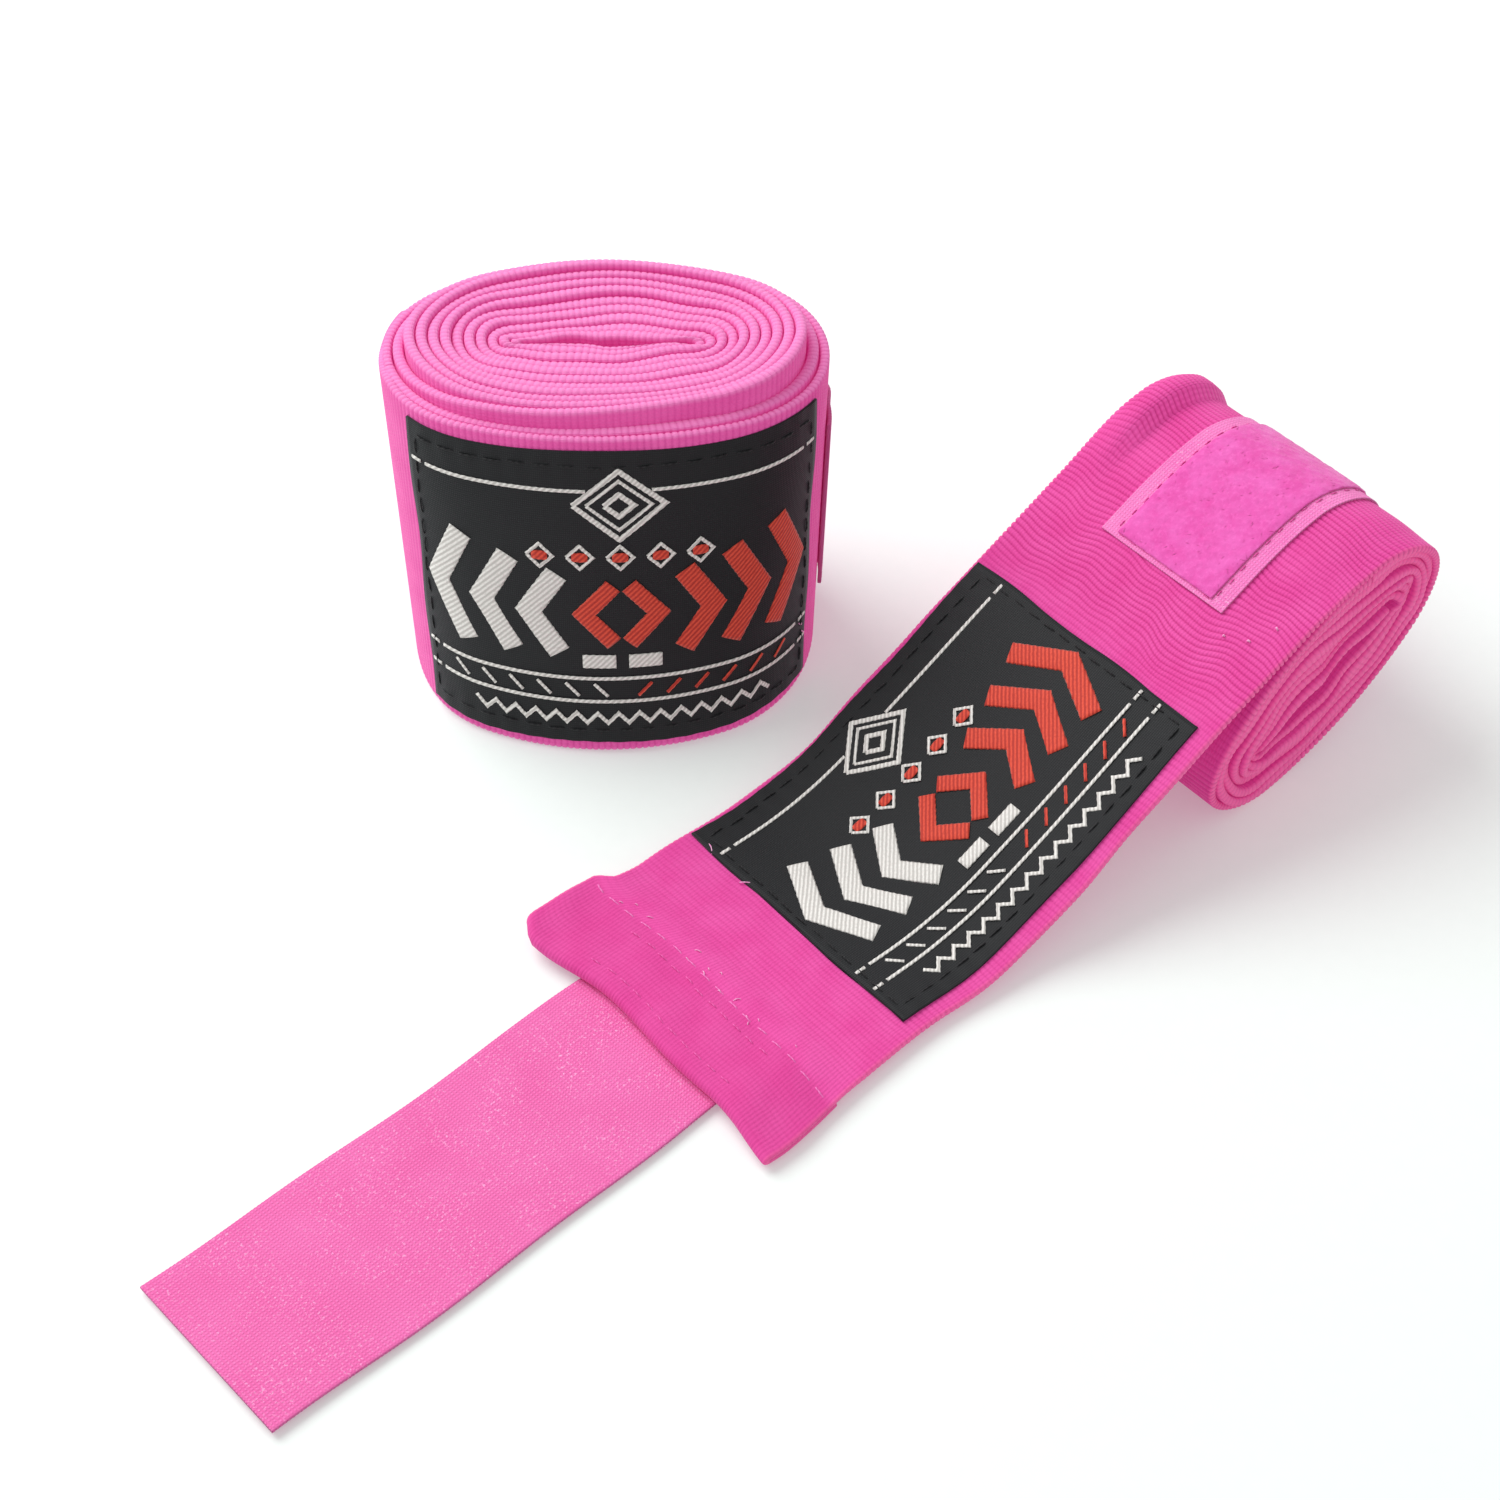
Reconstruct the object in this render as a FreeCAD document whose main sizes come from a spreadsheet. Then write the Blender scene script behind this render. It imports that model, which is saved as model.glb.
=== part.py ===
"""A pair of elasticated hand wraps: one rolled up and closed, one with its outer end laid out.

Both wraps are drawn in a flat working plane and swept across the band's width:
  u  runs along the band, from the hemmed outer end towards the roll
  n  points out of the roll (up, on the laid-out end)
The open wrap's working plane then stands on edge (u = +X, n = +Z), and the rolled wrap's lies
flat (n faces the front), so that its laps stand on their edges.
"""
import FreeCAD, Part
import math
import os
from FreeCAD import Placement, Rotation, Vector

# Driving dimensions in millimetres and degrees, copied to the document's spreadsheet.
SIZES = {
    # the band
    "band_width": 50.0,
    "band_thickness": 1.1,
    "hem_depth": 13.0,
    "layer_gap": 0.05,
    # hook tongue, sewn under the hem
    "tongue_width": 28.5,
    "tongue_length": 72.0,
    "tongue_yaw": 2.0,
    "tongue_gap": 0.9,
    "tape_thickness": 0.6,
    "tape_sewn": 7.5,
    "hook_height": 0.55,
    "hook_margin": 1.2,
    # woven label
    "label_start": 27.6,
    "label_length": 60.0,
    "label_width": 46.5,
    "label_thickness": 0.35,
    # loop patch
    "patch_gap": 15.0,
    "patch_length": 42.0,
    "patch_width": 25.0,
    "patch_thickness": 0.4,
    "pile_height": 0.5,
    "selvedge": 2.8,
    # stitching
    "stitch_length": 2.2,
    "stitch_pitch": 3.0,
    "stitch_radius": 0.16,
    "label_stitch_inset": 2.6,
    # open wrap
    "open_half_length": 25.0,
    "open_half_height": 14.5,
    "open_lean": 28.0,
    "open_lap_pitch": 1.45,
    "open_core": 1.2,
    "open_roll_at": 107.2,
    "ramp_angle": 26.0,
    "ramp_bend": 45.0,
    "joint_gap": 0.4,
    # rolled wrap
    "rolled_half_length": 32.0,
    "rolled_half_height": 23.5,
    "rolled_lap_pitch": 1.6,
    "rolled_core": 1.2,
    "rolled_at_x": 47.6,
    "rolled_at_y": 66.1,
    "rolled_turn": -40.7,
    "label_centre_shift": 1.0,
    "closure_gap": 0.35,
    # thumb loop, folded into the core of each roll
    "loop_strap_width": 47.0,
    "loop_strap_thickness": 0.9,
    "loop_strap_gap": 0.4,
    "rolled_loop_folds": 3,
    "open_loop_folds": 3,
    "rolled_loop_length": 15.0,
    "open_loop_length": 15.0,
    "bartack_length": 2.0,
    "bartack_width": 24.0,
}
SIDE_ANGLE = math.radians(70)  # each end arc of an oval spans this much either side of its axis
FULL_TURN = 2 * math.pi


# ---------------------------------------------------------------- the path that a band follows
class Run:
    """A straight stretch of a path. Its outward side is on its left."""

    def __init__(self, start, heading, length):
        self.start, self.heading, self.length = start, heading, length

    def at(self, along, offset=0.0):
        forward = Vector(math.cos(self.heading), math.sin(self.heading))
        outward = Vector(-forward.y, forward.x)
        return self.start + forward * along + outward * offset

    def facing(self, along):
        return self.heading

    def part(self, first, last):
        return Run(self.at(first), self.heading, last - first)

    def edge(self, offset):
        return Part.LineSegment(self.at(0, offset), self.at(self.length, offset))


class Bend:
    """A round stretch from one angle to another about a centre.

    A clockwise bend has its outward side away from the centre, and the other kind towards it.
    """

    def __init__(self, centre, radius, first_angle, last_angle):
        self.centre, self.radius = centre, radius
        self.first_angle, self.last_angle = first_angle, last_angle
        self.turn = 1 if last_angle > first_angle else -1
        self.length = radius * abs(last_angle - first_angle)

    def angle(self, along):
        return self.first_angle + self.turn * along / self.radius

    def at(self, along, offset=0.0):
        reach = self.radius - self.turn * offset
        angle = self.angle(along)
        return self.centre + Vector(math.cos(angle), math.sin(angle)) * reach

    def facing(self, along):
        return self.angle(along) + self.turn * math.pi / 2

    def part(self, first, last):
        return Bend(self.centre, self.radius, self.angle(first), self.angle(last))

    def edge(self, offset):
        circle = Part.Circle(self.centre, Vector(0, 0, 1), self.radius - self.turn * offset)
        low, high = sorted((self.first_angle, self.last_angle))
        return Part.ArcOfCircle(circle, low, high)


def path_length(path):
    return sum(piece.length for piece in path)


def stretch(path, first, last):
    """The part of a path between two distances from its start."""
    found, passed = [], 0.0
    for piece in path:
        low, high = max(first - passed, 0.0), min(last - passed, piece.length)
        if high - low > 1e-6:
            found.append(piece.part(low, high))
        passed += piece.length
    return found


def place_on(path, along, offset):
    """A point beside the path and the direction in which the path runs there."""
    for piece in path:
        if along <= piece.length:
            break
        along -= piece.length
    return piece.at(along, offset), piece.facing(along)


def oval_spiral(half_length, half_height, pitch, core, first_angle):
    """Clockwise arcs, each tangent to the next, that wind inwards one pitch for every turn.

    Four centres are taken in turn: right end, upper side, left end, lower side. Each half turn
    steps the centres so far round that the radius shrinks by half a pitch.
    """
    side = (1 - math.sin(SIDE_ANGLE)) / math.cos(SIDE_ANGLE)
    centre_offset = (half_length - half_height) / (1 - side)
    radius = half_length - centre_offset
    step = centre_offset / math.cos(SIDE_ANGLE)
    steps = (step + pitch / 4, step - pitch / 4)
    tilt = Vector(math.cos(SIDE_ANGLE), math.sin(SIDE_ANGLE))
    centres = [Vector(centre_offset, 0)]
    centres.append(centres[0] - tilt * steps[0])
    centres.append(centres[1] + Vector(-tilt.x, tilt.y) * steps[1])
    centres.append(centres[2] + tilt * steps[0])
    bounds = [-SIDE_ANGLE, SIDE_ANGLE, math.pi - SIDE_ANGLE,
              math.pi + SIDE_ANGLE, FULL_TURN - SIDE_ANGLE]
    sector = next(i for i in range(4) if bounds[i] <= first_angle <= bounds[i + 1])
    angle, arcs = first_angle, []
    if sector % 2:
        radius += steps[0]
    while radius > core:
        arcs.append(Bend(centres[sector], radius, angle, bounds[sector]))
        on_end = sector % 2 == 0
        radius += steps[1] if on_end else -steps[0]
        sector = (sector - 1) % 4
        angle = bounds[sector + 1]
    if sector % 2:
        arcs.append(Bend(centres[sector], radius, angle, bounds[sector]))
    return arcs


def shifted(path, move):
    """The same bends about centres that are moved."""
    return [Bend(b.centre + move, b.radius, b.first_angle, b.last_angle) for b in path]


def turned(path, angle):
    """The same bends turned together about the origin."""
    turn = Rotation(Vector(0, 0, 1), math.degrees(angle))
    return [Bend(turn.multVec(b.centre), b.radius, b.first_angle + angle, b.last_angle + angle)
            for b in path]


def open_path(size):
    """The open wrap's band, along its underside: laid-out end, ramp, then the roll."""
    half_height = size["open_half_height"] - size["band_thickness"]
    half_length = size["open_half_length"] - size["band_thickness"]
    ramp, lean = math.radians(size["ramp_angle"]), math.radians(size["open_lean"])
    roll = oval_spiral(half_length, half_height, size["open_lap_pitch"],
                       size["open_core"], math.pi / 2 + ramp - lean)
    roll = turned(roll, lean)
    lowest = min(piece.at(piece.length * k / 64, size["band_thickness"]).y
                 for piece in roll for k in range(65))
    roll = shifted(roll, Vector(size["open_roll_at"], -lowest))
    lift_off = roll[0].at(0)
    floor_level = laid_layers(size)["band"]
    forward = Vector(math.cos(ramp), math.sin(ramp))
    slope_length = (lift_off.y - floor_level) / forward.y
    foot = lift_off - forward * slope_length
    tangent = size["ramp_bend"] * math.tan(ramp / 2)
    bend_centre = foot + Vector(-tangent, size["ramp_bend"])
    return [
        Run(Vector(0, floor_level), 0.0, foot.x - tangent),
        Bend(bend_centre, size["ramp_bend"], -math.pi / 2, -math.pi / 2 + ramp),
        Run(foot + forward * tangent, ramp, slope_length - tangent),
    ], roll


def rolled_path(size):
    """The rolled wrap's band, along its underside: the end that flares over the hem, then laps."""
    half_height = size["rolled_half_height"] - size["band_thickness"]
    half_length = size["rolled_half_length"] - size["band_thickness"]
    full = oval_spiral(half_length, half_height, size["rolled_lap_pitch"],
                       size["rolled_core"], math.pi + SIDE_ANGLE)
    to_front = full[0].length + full[1].length / 2
    label_centre = size["label_start"] + size["label_length"] / 2 - size["label_centre_shift"]
    hem_at = to_front - label_centre
    label_at = hem_at + size["label_start"]
    laps = stretch(full, label_at, path_length(full))
    joins = laps[0]
    flare = closed_layers(size)["band"] - (size["rolled_lap_pitch"] - size["band_thickness"])
    radius = 1 / (1 / joins.radius - 2 * flare / size["label_start"] ** 2)
    outward = Vector(math.cos(joins.first_angle), math.sin(joins.first_angle))
    centre = joins.at(0) - outward * radius
    sweep = size["label_start"] / radius
    return [Bend(centre, radius, joins.first_angle + sweep, joins.first_angle)], laps, full


# ---------------------------------------------------------------- layers, counted outwards
def laid_layers(size):
    """Heights above the floor of each layer's underside at the laid-out end."""
    gap = size["layer_gap"]
    tape = size["hook_height"] + gap
    hem = tape + size["tape_thickness"] + gap
    return {"hooks": 0.0, "tape": tape, "hem": hem, "band": hem + size["band_thickness"] + gap}


def closed_layers(size):
    """Distances out from the lap underneath, of each layer's inner side, where it closes."""
    gap = size["layer_gap"]
    patch = gap
    pile = patch + size["patch_thickness"] + gap
    hooks = pile + size["pile_height"] + size["closure_gap"]
    tape = hooks + size["hook_height"] + gap
    hem = tape + size["tape_thickness"] + gap
    return {"patch": patch, "pile": pile, "hooks": hooks, "tape": tape, "hem": hem,
            "band": hem + size["band_thickness"] + gap}


# ---------------------------------------------------------------- document objects
def make_sheet(doc):
    sheet = doc.addObject("Spreadsheet::Sheet", "sizes")
    for row, (alias, value) in enumerate(SIZES.items(), 1):
        sheet.set(f"A{row}", alias)
        sheet.set(f"B{row}", str(value))
        sheet.setAlias(f"B{row}", alias)
    doc.recompute()
    return {alias: float(sheet.get(alias)) for alias in SIZES}


def outline(path, offset, thickness):
    """The closed outline of a strip that lies beside a path."""
    near = [piece.edge(offset) for piece in path]
    far = [piece.edge(offset + thickness) for piece in path]
    last = path[-1]
    ends = [
        Part.LineSegment(path[0].at(0, offset), path[0].at(0, offset + thickness)),
        Part.LineSegment(last.at(last.length, offset), last.at(last.length, offset + thickness)),
    ]
    return near + far + ends


def strip(doc, name, place, path, offset, thickness, width):
    """A strip of cloth or tape: its outline padded to both sides of the working plane."""
    body = doc.addObject("PartDesign::Body", name)
    body.Label = name
    sketch = body.newObject("Sketcher::SketchObject", name + "_outline")
    plane = next(f for f in body.Origin.OriginFeatures if f.Role == "XY_Plane")
    sketch.AttachmentSupport = [(plane, "")]
    sketch.MapMode = "FlatFace"
    sketch.addGeometry(outline(path, offset, thickness), False)
    pad = body.newObject("PartDesign::Pad", name + "_pad")
    pad.Profile = sketch
    pad.Midplane = True
    pad.setExpression("Length", f"sizes.{width}")
    body.Placement = place
    return body


def slab(doc, name, place, corner, sides):
    """A flat rectangular layer, its sides bound to the sheet."""
    box = doc.addObject("Part::Box", name)
    box.Label = name
    for side, expression in zip(("Length", "Width", "Height"), sides):
        box.setExpression(side, expression)
    box.Placement = place * Placement(corner, Rotation())
    return box


def group(doc, name, place, solids):
    """Separate small solids, such as the stitches of one seam, in one node."""
    feature = doc.addObject("Part::Feature", name)
    feature.Label = name
    feature.Shape = Part.makeCompound(solids)
    feature.Placement = place
    return feature


# ---------------------------------------------------------------- stitching
def stitch(size, point, direction):
    """One stitch: a short round thread centred on a point."""
    half = direction * (size["stitch_length"] / 2)
    return Part.makeCylinder(size["stitch_radius"], size["stitch_length"], point - half, direction)


def row_along(size, path, offset, across, first, last):
    """Stitches that follow the path between two distances."""
    count = int((last - first) / size["stitch_pitch"])
    spacing = (last - first) / count
    row = []
    for i in range(count):
        point, heading = place_on(path, first + (i + 0.5) * spacing, offset)
        direction = Vector(math.cos(heading), math.sin(heading))
        row.append(stitch(size, Vector(point.x, point.y, across), direction))
    return row


def row_across(size, path, offset, along, half_width):
    """Stitches that cross the band at one distance along it."""
    point, _ = place_on(path, along, offset)
    count = int(2 * half_width / size["stitch_pitch"])
    spacing = 2 * half_width / count
    return [stitch(size, Vector(point.x, point.y, -half_width + (i + 0.5) * spacing),
                   Vector(0, 0, 1)) for i in range(count)]


def seam_height(size, surface):
    """Where a thread's axis lies when it rests on a surface."""
    return surface + size["layer_gap"] + size["stitch_radius"]


# ---------------------------------------------------------------- pieces that both wraps have
def add_label(doc, size, wrap, place, path):
    """The woven label on the band's outer side, and the seam round its edge."""
    surface = size["band_thickness"] + size["layer_gap"]
    first, last = size["label_start"], size["label_start"] + size["label_length"]
    strip(doc, wrap + "_label", place, stretch(path, first, last), surface,
          size["label_thickness"], "label_width")
    height = seam_height(size, surface + size["label_thickness"])
    inset = size["label_stitch_inset"]
    across = size["label_width"] / 2 - inset
    seam = []
    for side in (-across, across):
        seam += row_along(size, path, height, side, first + inset, last - inset)
    for along in (first + inset / 2, last - inset / 2):
        seam += row_across(size, path, height, along, across)
    group(doc, wrap + "_label_stitching", place, seam)


def add_patch(doc, size, wrap, place, path):
    """The loop patch: ground tape, pile between its selvedges, and its seam."""
    first = size["label_start"] + size["label_length"] + size["patch_gap"]
    last = first + size["patch_length"]
    surface = size["band_thickness"] + size["layer_gap"]
    strip(doc, wrap + "_loop_patch", place, stretch(path, first, last), surface,
          size["patch_thickness"], "patch_width")
    surface += size["patch_thickness"] + size["layer_gap"]
    seam_room = 4 * size["stitch_radius"]
    pile = strip(doc, wrap + "_loop_pile", place,
                 stretch(path, first + size["selvedge"] / 2, last - size["selvedge"] / 2),
                 surface, size["pile_height"], "patch_width")
    pad = pile.Group[-1]
    pad.setExpression("Length", "sizes.patch_width - 2 * sizes.selvedge")
    across = size["patch_width"] / 2 - size["selvedge"] + seam_room
    height = seam_height(size, size["band_thickness"] + size["layer_gap"]
                         + size["patch_thickness"])
    seam = []
    for side in (-across, across):
        seam += row_along(size, path, height, side, first + seam_room, last - seam_room)
    for along in (first + seam_room, last - seam_room):
        seam += row_across(size, path, height, along, across - size["stitch_pitch"] / 2)
    group(doc, wrap + "_patch_stitching", place, seam)


def add_hem(doc, size, wrap, place, path, tape_below):
    """The turned-under end of the band, the sewn end of the hook tape, and their seams."""
    gap, thickness = size["layer_gap"], size["band_thickness"]
    strip(doc, wrap + "_hem", place, stretch(path, 0, size["hem_depth"]),
          -gap - thickness, thickness, "band_width")
    root = stretch(path, size["joint_gap"], size["tape_sewn"])
    strip(doc, wrap + "_hook_tape_root", place, root, tape_below,
          size["tape_thickness"], "tongue_width")
    height = seam_height(size, thickness)
    edge = size["band_width"] / 2 - size["stitch_pitch"] / 2
    group(doc, wrap + "_hem_stitching", place,
          row_across(size, path, height, size["hem_depth"] - 2, edge))
    sewn = row_across(size, path, height, size["stitch_pitch"], size["tongue_width"] / 2)
    group(doc, wrap + "_tongue_stitching", place, sewn)


def add_thumb_loop(doc, size, wrap, place, centre, lean):
    """A strap folded to and fro in the roll's core, and the bar tack between its ends."""
    place = place * Placement(centre, Rotation(Vector(0, 0, 1), lean))
    gap, thickness = size["loop_strap_gap"], size["loop_strap_thickness"]
    length, folds = size[wrap + "_loop_length"], int(size[wrap + "_loop_folds"])
    top = (folds * thickness + (folds - 1) * gap) / 2 - thickness
    start, heading, strap = Vector(-length / 2, top), 0.0, []
    for fold in range(folds):
        run = Run(start, heading, length)
        strap.append(run)
        if fold == folds - 1:
            break
        side, radius = (-1, gap / 2) if fold % 2 == 0 else (1, gap / 2 + thickness)
        first = heading - side * math.pi / 2
        turn = Bend(run.at(length, side * radius), radius, first, first + side * math.pi)
        strap.append(turn)
        start, heading = turn.at(turn.length), turn.facing(turn.length)
    strip(doc, wrap + "_thumb_loop", place, strap, 0.0, thickness, "loop_strap_width")
    tack = Vector(-length / 2, top - gap + size["layer_gap"], -size["bartack_width"] / 2)
    slab(doc, wrap + "_thumb_loop_bartack", place, tack,
         ("sizes.bartack_length", "sizes.loop_strap_gap - 2 * sizes.layer_gap",
          "sizes.bartack_width"))


def patch_middle(size):
    """How far along the band the middle of the loop patch is."""
    return (size["label_start"] + size["label_length"] + size["patch_gap"]
            + size["patch_length"] / 2)


def pile_surface(size):
    """How far the top of the loop pile stands out from the band's underside."""
    return (size["band_thickness"] + size["patch_thickness"] + size["pile_height"]
            + 2 * size["layer_gap"])


# ---------------------------------------------------------------- the two wraps
def build_open(doc, size):
    """The open wrap. Its working plane stands on edge along the row's X axis."""
    place = Placement(Vector(), Rotation(Vector(1, 0, 0), 90))
    tail, roll = open_path(size)
    whole = tail + roll
    hinge_at = size["label_start"] + size["label_length"] + size["patch_gap"] / 2
    thickness = size["band_thickness"]
    strip(doc, "open_band_roll", place, stretch(whole, hinge_at, path_length(whole)),
          0.0, thickness, "band_width")
    strip(doc, "open_band_tail", place, stretch(whole, 0, hinge_at - size["joint_gap"]),
          0.0, thickness, "band_width")
    layers = laid_layers(size)
    add_hem(doc, size, "open", place, whole, layers["tape"] - layers["band"])
    add_label(doc, size, "open", place, whole)
    add_patch(doc, size, "open", place, whole)
    core = (roll[-1].centre + roll[-3].centre) / 2
    add_thumb_loop(doc, size, "open", place, core, size["open_lean"])
    yawed = Placement(Vector(), Rotation(Vector(0, 0, 1), size["tongue_yaw"]))
    far, half = -size["tongue_gap"] - size["tongue_length"], size["tongue_width"] / 2
    slab(doc, "open_hook_tape", yawed, Vector(far, -half, layers["tape"]),
         ("sizes.tongue_length", "sizes.tongue_width", "sizes.tape_thickness"))
    margin = size["hook_margin"]
    slab(doc, "open_hook_field", yawed, Vector(far + margin, margin - half, 0),
         ("sizes.tongue_length - 2 * sizes.hook_margin",
          "sizes.tongue_width - 2 * sizes.hook_margin", "sizes.hook_height"))
    patch_at = patch_middle(size)
    return {
        "tail_lift": place.multVec(place_on(whole, hinge_at, thickness)[0]),
        "tongue_fold": place.multVec(whole[0].at(0, thickness)),
        "hook_face": yawed.multVec(Vector(far + size["tongue_length"] / 2, 0, 0)),
        "loop_face": place.multVec(place_on(whole, patch_at, pile_surface(size))[0]),
    }


def build_rolled(doc, size):
    """The rolled wrap. Its working plane lies flat at half the band's width above the floor."""
    stands = Vector(size["rolled_at_x"], size["rolled_at_y"], size["band_width"] / 2)
    place = Placement(stands, Rotation(Vector(0, 0, 1), size["rolled_turn"])
                      * Rotation(Vector(1, 0, 0), 180))
    flare, laps, full = rolled_path(size)
    whole = flare + laps
    thickness, layers = size["band_thickness"], closed_layers(size)
    strip(doc, "rolled_band", place, whole, 0.0, thickness, "band_width")
    add_hem(doc, size, "rolled", place, whole, layers["tape"] - layers["band"])
    add_label(doc, size, "rolled", place, whole)
    add_patch(doc, size, "rolled", place, whole)
    core = (laps[-1].centre + laps[-3].centre) / 2
    add_thumb_loop(doc, size, "rolled", place, core, 0.0)
    hem_edge = whole[0].at(0, thickness)
    last = under_hem(size, whole, hem_edge) - size["tongue_gap"]
    closed = stretch(whole, last - size["tongue_length"], last)
    strip(doc, "rolled_hook_tape", place, closed, thickness + layers["tape"],
          size["tape_thickness"], "tongue_width")
    margin = size["hook_margin"]
    hooks = strip(doc, "rolled_hook_field", place,
                  stretch(closed, margin, path_length(closed) - margin),
                  thickness + layers["hooks"], size["hook_height"], "tongue_width")
    hooks.Group[-1].setExpression("Length", "sizes.tongue_width - 2 * sizes.hook_margin")
    middle = size["label_start"] + size["label_length"] / 2
    foot, _ = place_on(whole, middle, thickness / 2)
    return {
        "closure_peel": place.multVec(hem_edge),
        "rolled_base": place.multVec(Vector(foot.x, foot.y, size["band_width"] / 2)),
    }


def under_hem(size, path, hem_edge):
    """How far along the band it passes under its own hem edge, one turn in."""
    first, last = size["label_start"] + size["label_length"], path_length(path)
    steps = int(last - first)
    near = [(place_on(path, first + i, 0)[0].distanceToPoint(hem_edge), first + i)
            for i in range(min(steps, 150))]
    return min(near)[1]


# ---------------------------------------------------------------- checking and writing
def nodes_of(doc):
    kinds = ("PartDesign::Body", "Part::Box", "Part::Feature")
    return [item for item in doc.Objects if item.TypeId in kinds]


def centre_on_origin(doc, points):
    """Moves everything so that the origin is at the bottom centre of the whole pair."""
    bounds = FreeCAD.BoundBox()
    for node in nodes_of(doc):
        bounds.add(node.Shape.BoundBox)
    move = Vector(-bounds.Center.x, -bounds.Center.y, -bounds.ZMin)
    for node in nodes_of(doc):
        node.Placement = Placement(move, Rotation()) * node.Placement
    doc.recompute()
    return {name: point + move for name, point in points.items()}, move


def check(doc):
    for item in doc.Objects:
        if "Invalid" in item.State or "Error" in item.State:
            raise RuntimeError(f"{item.Label} did not compute: {item.State}")
    for node in nodes_of(doc):
        if node.Shape.isNull() or not node.Shape.isValid() or not node.Shape.Solids:
            raise RuntimeError(f"{node.Label} has no valid solid")


def main():
    doc = FreeCAD.newDocument("hand_wraps")
    size = make_sheet(doc)
    points = build_open(doc, size)
    points.update(build_rolled(doc, size))
    doc.recompute()
    points, move = centre_on_origin(doc, points)
    check(doc)
    os.makedirs("parts", exist_ok=True)
    for node in nodes_of(doc):
        node.Shape.exportStep(f"parts/{node.Label}.step")
        print(f"{node.Label:28s} {len(node.Shape.Solids):3d} solids {node.Shape.Volume:9.1f} mm3")
    for name, point in points.items():
        print("point", name, [round(c, 3) for c in point])
    print("moved by", [round(c, 3) for c in move])


main()
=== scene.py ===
"""Looks for a pair of elasticated hand wraps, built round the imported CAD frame.

A wrap's pieces are laid out in its own terms, in millimetres: along the band from its hemmed end,
out of the roll from the band's underside, and across the band from -25 to 25. Wrap.points turns
these into metres in the row frame. The cloth is modelled directly, rib by rib.
"""

import math

import bpy
import numpy as np
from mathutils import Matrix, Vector


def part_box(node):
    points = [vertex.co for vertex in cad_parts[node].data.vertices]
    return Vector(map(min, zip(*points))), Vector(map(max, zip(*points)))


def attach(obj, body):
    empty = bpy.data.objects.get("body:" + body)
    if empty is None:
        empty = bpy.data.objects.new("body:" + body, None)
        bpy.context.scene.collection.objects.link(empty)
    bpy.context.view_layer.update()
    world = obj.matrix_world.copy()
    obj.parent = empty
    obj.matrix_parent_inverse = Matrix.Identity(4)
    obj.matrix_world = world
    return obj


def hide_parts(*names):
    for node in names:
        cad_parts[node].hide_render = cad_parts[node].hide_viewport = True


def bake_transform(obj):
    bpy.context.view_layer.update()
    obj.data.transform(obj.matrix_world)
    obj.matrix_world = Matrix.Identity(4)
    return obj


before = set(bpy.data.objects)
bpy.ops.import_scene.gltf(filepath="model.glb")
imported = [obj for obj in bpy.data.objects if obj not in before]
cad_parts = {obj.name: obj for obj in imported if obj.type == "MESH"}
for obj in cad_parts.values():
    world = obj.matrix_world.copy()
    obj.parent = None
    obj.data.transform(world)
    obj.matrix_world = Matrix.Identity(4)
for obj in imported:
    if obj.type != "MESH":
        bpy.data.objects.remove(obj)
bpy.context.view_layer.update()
rng = np.random.default_rng(11)

MM = 0.001
TURN = 2 * math.pi

# ---- driving sizes, as in the CAD, in mm
BAND_WIDTH, BAND_THICKNESS = 50.0, 1.1
HEM_DEPTH, LAYER_GAP = 13.0, 0.05
TONGUE_WIDTH, TONGUE_LENGTH, TONGUE_YAW, TONGUE_GAP = 28.5, 72.0, 2.0, 0.9
TAPE_THICKNESS, HOOK_HEIGHT, HOOK_MARGIN, TAPE_SEWN = 0.6, 0.55, 1.2, 7.5
LABEL_START, LABEL_LENGTH, LABEL_WIDTH, LABEL_THICKNESS = 27.6, 60.0, 46.5, 0.35
PATCH_GAP, PATCH_LENGTH, PATCH_WIDTH = 15.0, 42.0, 25.0
PATCH_THICKNESS, PILE_HEIGHT, SELVEDGE = 0.4, 0.5, 2.8
CLOSURE_GAP = 0.35
OPEN_HALF_LENGTH, OPEN_HALF_HEIGHT, OPEN_PITCH, OPEN_CORE = 25.0, 14.5, 1.45, 1.2
OPEN_ROLL_AT, OPEN_LEAN = 107.2, math.radians(28)
RAMP_ANGLE, RAMP_BEND = math.radians(26), 45.0
ROLLED_HALF_LENGTH, ROLLED_HALF_HEIGHT, ROLLED_PITCH, ROLLED_CORE = 32.0, 23.5, 1.6, 1.2
ROLLED_AT, ROLLED_TURN, LABEL_SHIFT = (47.6, 66.1), math.radians(-40.7), 1.0
SIDE_ANGLE = math.radians(70)
STRAP_WIDTH, STRAP_THICKNESS, STRAP_GAP = 47.0, 0.9, 0.4
OPEN_STRAP_RUN, OPEN_STRAP_FOLDS, ROLLED_STRAP_RUN, ROLLED_STRAP_FOLDS = 15.0, 3, 15.0, 3
TACK_WIDTH, TACK_PITCH = 24.0, 1.5

LABEL_END = LABEL_START + LABEL_LENGTH
PATCH_START = LABEL_END + PATCH_GAP
PATCH_END = PATCH_START + PATCH_LENGTH
HINGE_AT = LABEL_END + PATCH_GAP / 2
# Where the tape's and the band's undersides are, over the floor where the band is laid out, and
# over the lap underneath where the rolled wrap closes.
LAID_TAPE = HOOK_HEIGHT + LAYER_GAP
LAID_BAND = LAID_TAPE + TAPE_THICKNESS + LAYER_GAP + BAND_THICKNESS + LAYER_GAP
CLOSED_TAPE = (LAYER_GAP + PATCH_THICKNESS + LAYER_GAP + PILE_HEIGHT + CLOSURE_GAP
               + HOOK_HEIGHT + LAYER_GAP)
CLOSED_BAND = CLOSED_TAPE + TAPE_THICKNESS + LAYER_GAP + BAND_THICKNESS + LAYER_GAP

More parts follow.
